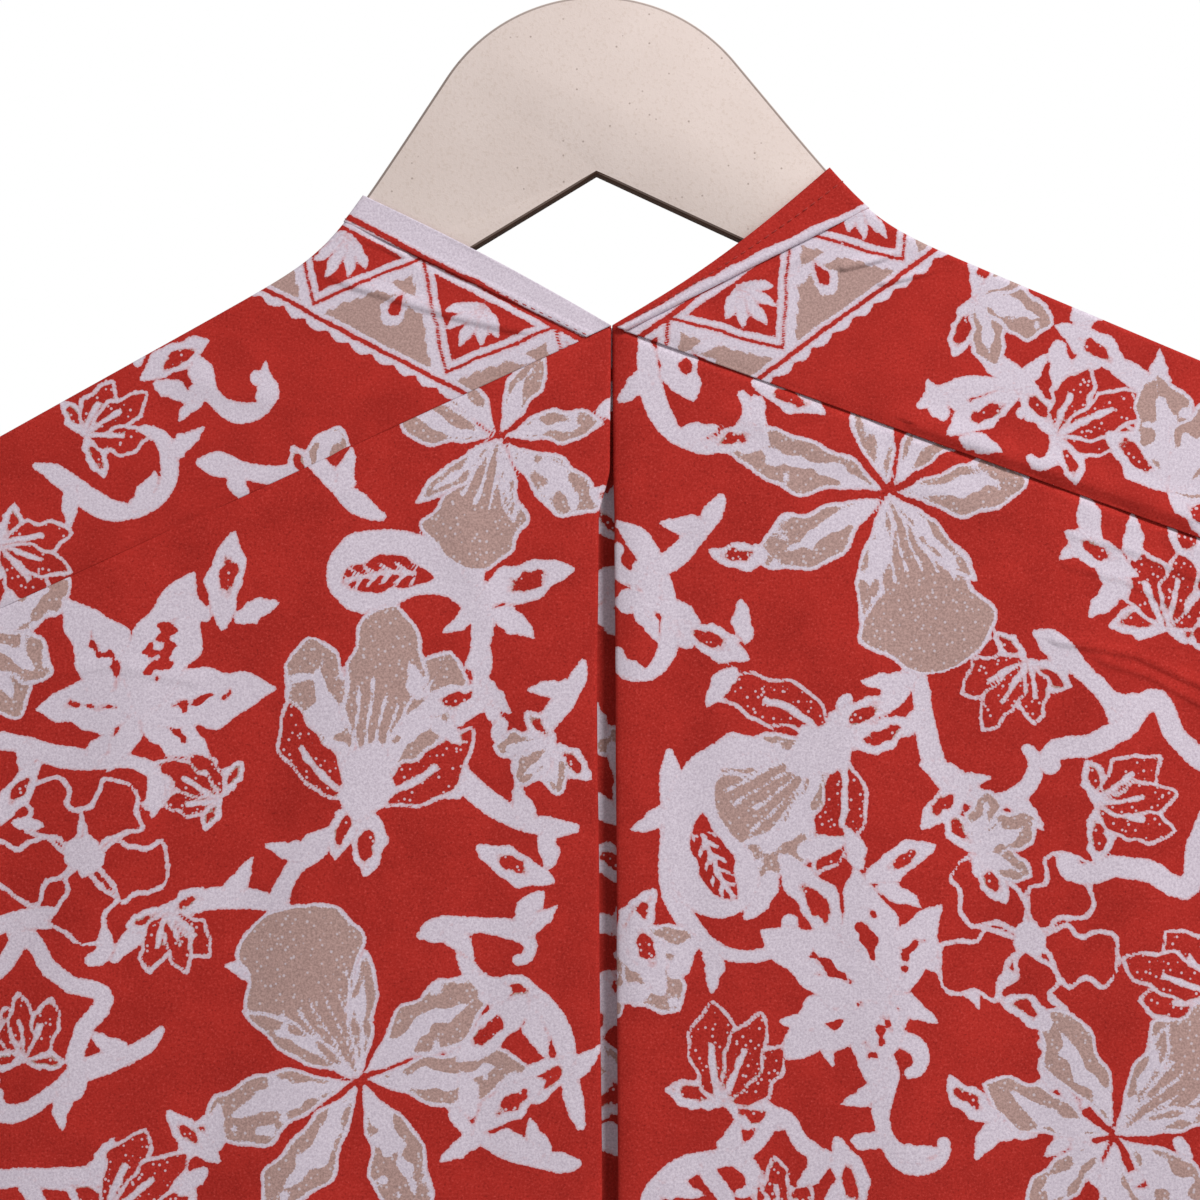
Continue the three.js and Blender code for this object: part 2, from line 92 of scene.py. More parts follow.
class Nodes:
    """A material's node tree, written as short calls."""

    def __init__(self, name):
        self.material = bpy.data.materials.new(name)
        self.material.use_nodes = True
        self.tree = self.material.node_tree
        self.shader = self.tree.nodes["Principled BSDF"]

    def put(self, socket, value):
        if isinstance(value, bpy.types.NodeSocket):
            self.tree.links.new(value, socket)
        elif isinstance(value, (tuple, list)) and len(value) == 3 and socket.type == "RGBA":
            socket.default_value = (*value, 1)
        else:
            socket.default_value = value

    def node(self, kind, settings=None, **inputs):
        """Adds a node. Inputs are named with _ for a space."""
        made = self.tree.nodes.new(kind)
        for key, value in (settings or {}).items():
            setattr(made, key, value)
        for key, value in inputs.items():
            self.put(made.inputs[key.replace("_", " ")], value)
        return made

    def math(self, operation, *values):
        made = self.node("ShaderNodeMath", {"operation": operation})
        for socket, value in zip(made.inputs, values):
            self.put(socket, value)
        return made.outputs[0]

    def ramp(self, value, low, high):
        """0 below low, 1 above high, smooth between. Low may be the larger."""
        smooth = {"interpolation_type": "SMOOTHSTEP"}
        return self.node("ShaderNodeMapRange", smooth, Value=value, From_Min=low, From_Max=high).outputs[0]

    def mix(self, share, a, b):
        made = self.node("ShaderNodeMix", {"data_type": "RGBA"})
        for socket, value in zip([made.inputs[0], made.inputs[6], made.inputs[7]], [share, a, b]):
            self.put(socket, value)
        return made.outputs[2]

    def noise(self, place, scale, detail=2.0, roughness=0.5):
        inputs = {"Vector": place, "Scale": scale, "Detail": detail, "Roughness": roughness}
        return self.node("ShaderNodeTexNoise", **inputs).outputs["Fac"]

    def bump(self, height, strength, distance, **below):
        made = self.node("ShaderNodeBump", Height=height, Strength=strength, Distance=distance, **below)
        return made.outputs["Normal"]

    def finish(self, **inputs):
        for key, value in inputs.items():
            self.put(self.shader.inputs[key.replace("_", " ")], value)
        return self.material


pale = Nodes("pale_floor")
floor_tone = pale.noise(pale.node("ShaderNodeTexCoord").outputs["Object"], 3.0)
floor_tone = pale.mix(floor_tone, (0.86, 0.86, 0.86), (0.9, 0.9, 0.9))
floor.data.materials.append(pale.finish(Base_Color=floor_tone, Roughness=0.8))


def add_piece(name, mesh, material, nodes):
    """Puts a finished mesh, in metres, into the scene as one piece of the part."""
    piece = add_object(name, mesh)
    mesh.materials.append(material)
    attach(piece, "root")
    if nodes:
        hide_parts(*nodes)
    return piece


def pick(piece):
    bpy.ops.object.select_all(action="DESELECT")
    bpy.context.view_layer.objects.active = piece
    piece.select_set(True)


def smooth_hard_piece(piece, degrees):
    pick(piece)
    bpy.ops.object.shade_smooth_by_angle(angle=math.radians(degrees))


# ---- Hanger plate ----
# A flat hanger sawn from 8 mm fibreboard, pale and sanded, with fine dark specks in its face and
# a sawn edge that is burnt brown, with painted shade making it darkest where it faces down. Its own
# frame is upright from the dome's centre, in mm.
ROLL = math.radians(3.2)
DOME_RADIUS = 65.0
DOME_DROP = 127.0
FLARE_SLOPE = 1.351
ARM_SLOPE = 0.49
ARM_REACH = 226.0
TIP_LENGTH = 12.0  # the rounded end of each arm
THROAT = {"z": 1.0, "slope": 0.532, "reach": 110.0}


def arm_top(x):
    """The height of the hanger's top edge beside the dome."""
    leave = math.atan(FLARE_SLOPE)
    flare = DOME_RADIUS * math.cos(leave) - FLARE_SLOPE * (x - DOME_RADIUS * math.sin(leave))
    arm = -46 - ARM_SLOPE * (x - 144)
    return arm + 6 * np.log(1 + np.exp((flare - arm) / 6))


def arm_bottom(x):
    inner = THROAT["z"] - THROAT["slope"] * np.minimum(x, THROAT["reach"])
    return inner - ARM_SLOPE * np.maximum(0, x - THROAT["reach"])


def rolled(x, z):
    """From the hanger's frame, measured from the hang point, to the plumb frame of the dress."""
    return x * math.cos(ROLL) - z * math.sin(ROLL), x * math.sin(ROLL) + z * math.cos(ROLL)


def plate_outline():
    leave = math.atan(FLARE_SLOPE)
    angles = np.linspace(0, leave, 40)
    edge_end = ARM_REACH - TIP_LENGTH
    edge = np.linspace(DOME_RADIUS * math.sin(leave), edge_end, 60)[1:]
    turn = np.linspace(0, math.pi, 17)[1:]
    tip = edge_end + TIP_LENGTH * np.sin(turn)
    top, bottom = arm_top(tip), arm_bottom(tip)
    round_tip = (top + bottom) / 2 + (top - bottom) / 2 * np.cos(turn)
    under = np.linspace(edge_end, 0, 40)[1:]
    x = np.concatenate([DOME_RADIUS * np.sin(angles), edge, tip, under])
    z = np.concatenate([DOME_RADIUS * np.cos(angles), arm_top(edge), round_tip, arm_bottom(under)])
    x = np.concatenate([x, -x[-2:0:-1]])
    z = np.concatenate([z, z[-2:0:-1]])
    return rolled(x, z - DOME_DROP)


def make_plate_mesh():
    """The outline, with its edges eased by half a millimetre."""
    x, z = plate_outline()
    ahead = np.stack([np.roll(x, -1) - np.roll(x, 1), np.roll(z, -1) - np.roll(z, 1)])
    inward = np.stack([ahead[1], -ahead[0]]) / np.hypot(*ahead)
    # Each ring is a distance in from the sawn edge and a depth.
    rings = [(1.0, -4.0), (0.3, -3.7), (0.0, -3.2), (0.0, 3.2), (0.3, 3.7), (1.0, 4.0)]
    points = [(x + inward[0] * eased, depth + 0 * x, z + inward[1] * eased) for eased, depth in rings]
    cells = np.arange(len(rings) * len(x)).reshape(len(rings), -1)
    after = np.roll(cells, -1, 1)
    quads = np.stack([cells[:-1], cells[1:], after[1:], after[:-1]], -1).reshape(-1, 4)
    faces = [*quads.tolist(), cells[0].tolist(), cells[-1, ::-1].tolist()]
    return new_mesh("hanger_plate", np.concatenate([np.stack(p, -1) for p in points]), faces)


def bore_plate(piece):
    axis = Vector((-math.sin(ROLL), 0, -math.cos(ROLL)))
    bpy.ops.mesh.primitive_cylinder_add(
        vertices=24,
        radius=0.0021,
        depth=0.0406,
        location=-axis * (DOME_RADIUS - DOME_DROP) / 1000,
        rotation=(0, -ROLL, 0),
    )
    drill = bpy.context.object
    cut = piece.modifiers.new("bore", "BOOLEAN")
    cut.object = drill
    cut.solver = "EXACT"
    pick(piece)
    bpy.ops.object.modifier_apply(modifier="bore")
    bpy.data.objects.remove(drill)


def make_board_material():
    board = Nodes("sanded_fibreboard")
    place = board.node("ShaderNodeTexCoord").outputs["Object"]
    cloud = board.noise(place, 38.0, 3.0)
    grain = board.noise(place, 900.0, 2.0, 0.7)
    speck = board.node("ShaderNodeTexVoronoi", {"feature": "F1"}, Vector=place, Scale=420.0)
    rare = board.node("ShaderNodeSeparateColor", Color=speck.outputs["Color"]).outputs[0]
    near = board.ramp(speck.outputs["Distance"], 0.22, 0.08)
    dots = board.math("MULTIPLY", near, board.ramp(rare, 0.9, 0.93))
    face = board.mix(cloud, (0.72, 0.60, 0.55), (0.80, 0.68, 0.635))
    worn = board.math("MULTIPLY", board.ramp(grain, 0.5, 0.72), 0.35)
    face = board.mix(worn, face, (0.58, 0.46, 0.39))
    face = board.mix(board.math("MULTIPLY", dots, 0.6), face, (0.22, 0.15, 0.12))
    # The sawn edge is burnt brown where it turns away from the plate's flat faces, but the burn is
    # painted only where the edge faces down and fades out on edges that face up: partly real burn,
    # partly painted shade under the plate.
    normal = board.node("ShaderNodeNewGeometry").outputs["True Normal"]
    turned = board.node("ShaderNodeSeparateXYZ", Vector=normal)
    edge_burn_and_shade = board.ramp(board.math("ABSOLUTE", turned.outputs["Y"]), 0.99, 0.9)
    edge_burn_and_shade = board.math("MULTIPLY", edge_burn_and_shade, board.ramp(turned.outputs["Z"], 0.9, -0.1))
    layers = board.noise(place, 160.0, 4.0, 0.6)
    # The burn's colour, dark enough to hold the painted shade under the plate as well.
    burn_and_shade_tone = board.mix(layers, (0.03, 0.014, 0.009), (0.1, 0.05, 0.03))
    fuzz = board.bump(grain, 0.25, 0.0004)
    colour = board.mix(edge_burn_and_shade, face, burn_and_shade_tone)
    return board.finish(Base_Color=colour, Roughness=0.85, Normal=fuzz, Specular_IOR_Level=0.12)


plate = make_plate_mesh()
plate = add_piece("hanger_plate", plate, make_board_material(), ["hanger_plate"])
bore_plate(plate)
smooth_hard_piece(plate, 30)

# ---- Hanger hook ----
# A bright steel wire bent to a hook that opens to the left, pushed 20 mm into the plate, its end
# ground round. It hangs from the origin.
WIRE = 3.6
HOOK_INSIDE = 20.0


def tube_faces(cells):
    """Faces of tubes, each a row of rings of points: quads all round and one face at both ends."""
    after = np.roll(cells, -1, 2)
    quads = np.stack([cells[:, :-1], after[:, :-1], after[:, 1:], cells[:, 1:]], -1).reshape(-1, 4)
    return [*quads.tolist(), *cells[:, 0, ::-1].tolist(), *cells[:, -1].tolist()]


def hook_line():
    bend = HOOK_INSIDE + WIRE / 2
    close = math.radians(-65)
    angles = np.linspace(math.radians(205), close, 60)
    points = np.stack([bend * np.cos(angles), bend * np.sin(angles) - HOOK_INSIDE], 1)
    x, z = points[-1]
    radius = x / (1 - math.cos(close))
    shank_top = z + radius * math.sin(close)
    angles = np.linspace(math.pi + close, math.pi, 16)[1:]
    turn = np.stack([radius + radius * np.cos(angles), shank_top + radius * np.sin(angles)], 1)
    end = DOME_RADIUS - DOME_DROP - 20
    shank = np.stack([np.zeros(12), np.linspace(shank_top, end, 13)[1:]], 1)
    points = np.concatenate([points, turn, shank])
    return np.stack(rolled(points[:, 0], points[:, 1]), 1)


def make_hook_mesh():
    line = hook_line()
    ahead = np.gradient(line, axis=0)
    ahead /= np.hypot(ahead[:, 0], ahead[:, 1])[:, None]
    # A round nose: the wire narrows over its own radius at the free end.
    nose = [(1 - math.cos(a), math.sin(a)) for a in np.linspace(0.2, math.pi / 2, 6)]
    rings = [(line[0] - ahead[0] * WIRE / 2 * (1 - back), ahead[0], wide) for back, wide in nose]
    rings += [(line[i], ahead[i], 1.0) for i in range(1, len(line))]
    around, points = 20, []
    for point, forward, wide in rings:
        for turn in np.arange(around) * 2 * math.pi / around:
            out = WIRE / 2 * wide * math.cos(turn)
            depth = WIRE / 2 * wide * math.sin(turn)
            points.append((point[0] + forward[1] * out, depth, point[1] - forward[0] * out))
    return new_mesh("hanger_hook", points, tube_faces(np.arange(len(points)).reshape(1, -1, around)))


def make_steel_material():
    steel = Nodes("bright_wire")
    place = steel.node("ShaderNodeTexCoord").outputs["Object"]
    drawn = steel.noise(place, 700.0, 3.0)
    tone = steel.mix(drawn, (0.50, 0.51, 0.52), (0.66, 0.67, 0.68))
    rough = steel.math("MULTIPLY_ADD", drawn, 0.2, 0.22)
    fine = steel.bump(drawn, 0.15, 0.0002)
    return steel.finish(Base_Color=tone, Metallic=1.0, Roughness=rough, Normal=fine)


hook = add_piece("hanger_hook", make_hook_mesh(), make_steel_material(), ["hanger_hook"])
smooth_hard_piece(hook, 40)

# ---- Back, left half ----
# Printed cotton from the yoke seam to the hem, turned under 35 mm at the pleat's left edge. It is
# sewn to the left yoke and to the front's left side. Forms are in mm; x, y and z are the CAD's.
WALL = 1.2  # thickness of the cloth's solid
CLOTH = 0.6  # and of the cloth as it shows
SEAM_GAP = 0.3
HALF_DEPTH = 5.1  # of the dress where it lies over the plate
CLOSED = 0.27  # and at its side seams
CENTRE = 12.5
BACK_POINT = -181.0
HEM = -1255.0
SEAM_SLOPE = {-1: 0.464, 1: 0.362}
NECK_HALF = {-1: 84.5, 1: 84.0}
BAND_OUT = {-1: 7.5, 1: 13.5}
BAND_FOOT = {-1: 9.0, 1: 5.0}
NECK_SAG = {-1: -1.5, 1: 3.5}
FLARE_START = -318.0
SWELL_START = -150.0
FLUTE_START = -330.0
TURNED_UNDER = 34.0  # the flat part of the cloth behind each folded edge of the pleat
SIDES = {-1: "left", 1: "right"}


def ease(value):
    value = np.clip(value, 0, 1)
    return value * value * (3 - 2 * value)


def mix(a, b, share):
    return a + (b - a) * share


def shoulder(side, reach):
    """A point of the cloth over the hanger's arm, by its distance from the dome's centre line."""
    fall = arm_top(reach - 0.5) - arm_top(reach + 0.5)
    return rolled(side * reach, arm_top(reach) + 1.1 * np.hypot(1, fall) - DOME_DROP)


TIP = {side: shoulder(side, ARM_REACH) for side in SIDES}
TIP_MIDDLE = (TIP[-1][0] + TIP[1][0]) / 2


def half_width(z):
    return 225.6 + 104.4 * (np.maximum(0, FLARE_START - z) / (FLARE_START - HEM)) ** 1.15


def side_line(side, z):
    return TIP_MIDDLE + side * half_width(z)


def seam_line(side, x):
    return BACK_POINT - SEAM_SLOPE[side] * np.abs(x - CENTRE)


def swell_at(z):
    return 32 * np.clip((SWELL_START - z) / (SWELL_START - HEM), 0, 1) ** 1.3


def flute_at(face, x, z):
    across = (x - CENTRE) / half_width(z)
    total = 0
    for waves, share, phase in [(2.3, 1, 0.6), (3.7, 0.75, 2.4), (5.9, 0.4, 4.1)]:
        total = total + share * np.sin(math.pi * waves * across + phase + face)
    grown = 6.5 * np.clip((FLUTE_START - z) / (FLUTE_START - HEM), 0, 1) ** 1.4
    return grown * total * ease((np.abs(x - CENTRE) - 54) / 70)


def body_depth(side, face, x, z):
    """Half the way through the dress, which closes at the side below the armhole."""
    swelling = HALF_DEPTH + swell_at(z)
    from_side = np.abs(side_line(side, z) - x)
    closing = np.clip((TIP[side][1] - z - 193) / 32, 0, 1)
    pinch = closing * np.maximum(0, 1 - from_side / (1.8 * swelling))
    return mix(CLOSED, swelling + flute_at(face, x, z), np.sqrt(np.maximum(0, 1 - pinch**2)))


def pleat_edge(side, z):
    """Where each folded edge of the pleat stands."""
    fall = BACK_POINT - z
    rows = [0, 50, 70, 135, 210, 315, 700, 1080]
    opening = {
        -1: [0.2, 0.6, 4.6, 5.2, 4.4, 3.4, 9, 16],
        1: [0.2, 0.5, 1, 1.4, 1.8, 2.2, 8, 15],
    }[side]
    total = opening[0]
    for i in range(len(rows) - 1):
        step = ease((fall - rows[i]) / (rows[i + 1] - rows[i]))
        total = total + (opening[i + 1] - opening[i]) * step
    return CENTRE + side * (total + WALL / 2)


def zip_rows(a, b):
    """Triangles between two chains of vertices that run side by side."""
    i, j, faces = 0, 0, []
    while i < len(a) - 1 or j < len(b) - 1:
        if j == len(b) - 1 or (i < len(a) - 1 and (i + 1) * (len(b) - 1) <= (j + 1) * (len(a) - 1)):
            faces.append((a[i], b[j], a[i + 1]))
            i += 1
        else:
            faces.append((a[i], b[j], b[j + 1]))
            j += 1
    return faces


def grid_normals(grid):
    """Normals of a grid of points, columns first."""
    normal = np.cross(np.gradient(grid, axis=0), np.gradient(grid, axis=1))
    return normal / np.maximum(1e-9, np.linalg.norm(normal, axis=2))[..., None]


def summed(steps):
    """Running totals down the first axis, from nought."""
    return np.concatenate([np.zeros((1, *steps.shape[1:])), np.cumsum(steps, axis=0)])


def arc_lengths(grid):
    """Distance along the first axis of a grid or line of points."""
    return summed(np.linalg.norm(np.diff(grid, axis=0), axis=-1))


def taken_up(grid, counts=True):
    """How much cloth the folds and the round side take up along each row, from its first column."""
    step = np.diff(grid, axis=0)
    return summed((np.hypot(step[..., 0], step[..., 1]) - np.abs(step[..., 0])) * counts)


def drift(x, y, size, seed):
    """Smooth random values from -1 to 1 that change over size."""
    lattice = np.random.default_rng(seed).uniform(-1, 1, (64, 64))
    u, v = x / size + 1000, y / size + 1000
    i, j = np.floor(u).astype(int), np.floor(v).astype(int)
    a, b = ease(u - i), ease(v - j)
    near, far = (mix(lattice[i % 64, k % 64], lattice[(i + 1) % 64, k % 64], a) for k in (j, j + 1))
    return mix(near, far, b)


def lay_shell(name, blocks, inner, outwards=1):
    """A closed thin shell. Each block and the inner layer is a pair: a grid of points on the middle
    of the cloth, columns first, and the same points on the flat cloth. Blocks join row to row.
    outwards is -1 where the columns run the other way round."""
    places, flats, maps, faces, index = [], [], [], [], []
    low = np.min([flat.min((0, 1)) for _, flat in blocks], 0)
    span = np.max([flat.max((0, 1)) for _, flat in blocks], 0) - low
    for layer, (grid, flat) in enumerate([*blocks, inner]):
        hidden = layer == len(blocks)
        offset = grid_normals(grid) * outwards * CLOTH * (-0.5 if hidden else 0.5)
        cells = np.arange(flat[..., 0].size).reshape(flat.shape[:2]) + sum(len(f) for f in flats)
        index.append(cells)
        places.append((grid + offset).reshape(-1, 3))
        flats.append(flat.reshape(-1, 2))
        share = (flats[-1] - low) / span
        wide = 0.23 if hidden else 0.74
        maps.append(share * (wide, 0.955) + (0.76 if hidden else 0.005, 0.005))
        quads = np.stack([cells[:-1, :-1], cells[1:, :-1], cells[1:, 1:], cells[:-1, 1:]], -1)
        faces += [tuple(q) for q in quads.reshape(-1, 4).tolist()]
    *outer, under = index
    for upper, lower in zip(outer, outer[1:]):
        faces += zip_rows(upper[:, -1].tolist(), lower[:, 0].tolist())
    rims = [(outer[0][:, 0], under[:, 0]), (outer[-1][:, -1], under[:, -1])]
    rims += [(np.concatenate([o[k] for o in outer]), under[k]) for k in (0, -1)]
    rim_starts = []
    for a, b in rims:
        rim_starts.append(len(faces))
        faces += zip_rows(a.tolist(), b.tolist())
    mesh = bpy.data.meshes.new(name)
    mesh.from_pydata((np.concatenate(places) / 1000).tolist(), [], faces)
    turned = bmesh.new()
    turned.from_mesh(mesh)
    bmesh.ops.recalc_face_normals(turned, faces=turned.faces)
    turned.to_mesh(mesh)
    turned.free()
    # The map that a bake uses: the face, the lining side beside it, and the rims in strips above.
    corner = np.empty(len(mesh.loops), int)
    mesh.loops.foreach_get("vertex_index", corner)
    spread = np.concatenate(maps)[corner]
    starts = [mesh.polygons[f].loop_start for f in rim_starts] + [len(corner)]
    for strip, (a, b) in enumerate(rims):
        spots = np.zeros((len(mesh.vertices), 2))
        for chain, height in ((a, 0.97), (b, 0.974)):
            spots[chain, 0] = np.linspace(0.01, 0.99, len(chain))
            spots[chain, 1] = height + 0.007 * strip
        spread[starts[strip] : starts[strip + 1]] = spots[corner[starts[strip] : starts[strip + 1]]]
    mesh.uv_layers.new(name="OFBake").data.foreach_set("uv", spread.ravel().astype(np.float32))
    return mesh, np.concatenate(flats)


def soft_folds(rows, x, z):
    """How far the cloth stands proud: long soft ridges and troughs, over fainter creasing."""
    total = 0.22 * drift(x, z, 31, 5) + 0.1 * drift(x, z, 12, 6)
    grown = ease((-520 - z) / 600)
    for at, lean, top, bottom, width, height in rows:
        along = ease((top - z) / 70) * ease((z - bottom) / 120) * (1 + 2 * grown)
        away = (x - at - lean * (top - z)) / (width * (1 + 0.4 * grown))
        total = total + height * along * np.exp(-(away**2))
    return total


def seam_tuck(below, along, seed, dip=0.45):
    """A sewn edge dips into its seam and puckers beside it. Both distances are in mm."""
    pucker = 0.34 * drift(along, below * 0.3, 5.5, seed) * np.exp(-np.abs(below) / 5)
    return pucker * ease(below / 1.5) - dip * np.exp(-((np.maximum(below, 0) / 1.6) ** 2))


def crease_lines(rows, x, z):
    """Short creases drawn as lines over the cloth: points, how wide each is above and below its
    line, and its height, in mm. A crease that is steep below is cloth that laps over itself."""
    total = np.zeros_like(x)
    for points, above, below, height in rows:
        path = [px + 1j * py for px, py in points]
        away = np.full_like(x, 99.0)
        width = np.ones_like(x)
        for a, b in zip(path, path[1:]):
            q = (x - CENTRE + 1j * (BACK_POINT - z) - a) / (b - a)
            apart = np.abs(b - a) * np.abs(q - np.clip(q.real, 0, 1))
            width = np.where(apart < away, np.where(q.imag > 0, below, above), width)
            away = np.minimum(away, apart)
        total = total + height * np.exp(-((away / width) ** 2))
    return total


# Each row: where the fold starts across and down, its lean, its end, its width and its height.
BACK_FOLDS = {-1: [
    (-22, -0.05, -215, -640, 10, -0.9),
    (-70, -0.13, -236, -1400, 19, 1.5),
    (-104, -0.17, -300, -900, 13, -1.3),
    (-148, -0.2, -262, -1400, 17, 1.7),
    (-186, -0.3, -330, -1400, 15, -2.0),
]}
BACK_CREASES = {-1: [
    ([(-150, 78), (-120, 66), (-95, 60)], 5, 4, 0.7),
    ([(-212, 128), (-180, 122), (-150, 128)], 4, 2, 0.5),
    ([(-60, 60), (-40, 110), (-30, 160)], 7, 7, 0.6),
]}
TUCKED = 0.6  # how far an edge runs on under its neighbour
SEAM_DIP = {-1: 0.6, 1: 1.6}  # how deep the back dips into the yoke's seam
STITCH = 3.4  # from one stitch to the next
HEM_TURNING = 15.0
CLOSE_ROWS_END = -500.0
ROLL_IN = {-1: 0.25, 1: 1.7}  # how far the cloth rolls under towards the pleat's edge


def back_x(side, u, z):
    """u is -2 at the turned-under end, -1 to 0 round the fold and 1 at the side seam."""
    edge = pleat_edge(side, z) - side * (WALL - CLOTH) / 2
    turn = np.clip(u + 0.5, -0.5, 0.5) * math.pi
    near = edge + side * (1 - np.cos(turn) + TURNED_UNDER * np.clip(-1 - u, 0, 1))
    return np.where(u > 0, mix(edge + side, side_line(side, z), np.clip(u, 0, 1)), near)


def back_grid(side, across, down, top=None, bottom=HEM):
    u, v = np.meshgrid(across, down, indexing="ij")
    upper = np.full_like(u, BACK_POINT if top is None else top)
    if top is None:
        for _ in range(5):
            upper = seam_line(side, back_x(side, u, upper)) + TUCKED
    z = mix(upper, bottom, v)
    x = back_x(side, u, z)
    edge = pleat_edge(side, z)
    behind = 1 - np.sin(np.clip(u + 0.5, -0.5, 0.5) * math.pi)
    rolling = ROLL_IN[side] * np.clip(1 - np.abs(x - edge) / 9, 0, 1) ** 2
    y = behind + rolling - body_depth(side, -1, x, z)
    near_side = ease(np.abs(side_line(side, z) - x) / 12)
    below = seam_line(side, x) - z
    lift = soft_folds(BACK_FOLDS[side], x, z) * ease(below / 25) * near_side
    lift = lift + crease_lines(BACK_CREASES[side], x, z) * near_side
    lift = lift + seam_tuck(below, x, 11 + side, SEAM_DIP[side]) * near_side
    y = y - lift * ease((u + 1) / 0.8)
    grid = np.stack([x, y, z], -1)
    turned = math.pi * np.clip(-u, 0, 1) + TURNED_UNDER * np.clip(-1 - u, 0, 1)
    out = x - CENTRE + side * taken_up(grid, u[:-1] >= 0)
    flat = np.where(u > 0, out, edge - CENTRE - side * turned)
    return grid, np.stack([flat, BACK_POINT - z], -1)


def beside(middle, step):
    """A line of stitches and a line at each side of it, as shares of the way over a grid."""
    return np.array([-step, 0, step]) + middle


def add_stitches(name, strip, outwards):
    """A run of machine stitches along the middle line of a strip of grid: each is a short loop of
    thread that dips into the cloth at both ends."""
    line, normals = strip[:, 1], outwards * grid_normals(strip)[:, 1]
    run = arc_lengths(line)
    # Each row: how far along the stitch, its thickness and how proud it stands, in mm.
    rings = [(-1.15, 0.06, -0.05), (-0.7, 0.2, 0.12), (0, 0.22, 0.15), (0.7, 0.2, 0.12), (1.15, 0.06, -0.05)]
    along, thick, proud = np.array(rings).T
    places = np.arange(2, run[-1] - 2, STITCH)[:, None] + along

    def at(values, where):
        return np.stack([np.interp(where, run, values[:, k]) for k in range(3)], -1)

    ahead = at(line, places + 0.3) - at(line, places - 0.3)
    ahead /= np.linalg.norm(ahead, axis=-1, keepdims=True)
    out = at(normals, places)
    across = np.cross(ahead, out)
    middle = at(line, places) + out * (CLOTH / 2 + proud[:, None])
    turn = np.arange(6) * math.pi / 3
    spread = across[..., None, :] * np.cos(turn)[:, None] + out[..., None, :] * np.sin(turn)[:, None]
    points = (middle[..., None, :] + thick[:, None, None] * spread).reshape(-1, 3)
    mesh = new_mesh(name, points, tube_faces(np.arange(len(points)).reshape(-1, 5, 6)))
    mesh.shade_smooth()
    thread = Nodes(name)
    place = thread.node("ShaderNodeTexCoord").outputs["Object"]
    tone = thread.mix(thread.noise(place, 900.0), (0.3, 0.025, 0.02), (0.55, 0.06, 0.05))
    twist = thread.bump(thread.noise(place, 4000.0, 1.0), 0.4, 0.0001)
    material = thread.finish(Base_Color=tone, Roughness=0.6, Normal=twist, Specular_IOR_Level=0.3)
    return add_piece(name, mesh, material, [])


def back_across(main, fold, turned):
    parts = ((-2, -1, turned), (-1, 0, fold), (0, 1, main))
    return np.concatenate([*(np.linspace(a, b, n + 1)[:-1] for a, b, n in parts), [1]])


AWAY = 9.0  # a signed distance that stands for none near


def ray(degrees):
    """A step of one towards a heading: 0 is right and 90 is down."""
    return np.exp(1j * math.radians(degrees))


def flat_place(point):
    """A point (x, z) as a complex place on the flat cloth, right and down from the back point."""
    return complex(point[0] - CENTRE, BACK_POINT - point[1])


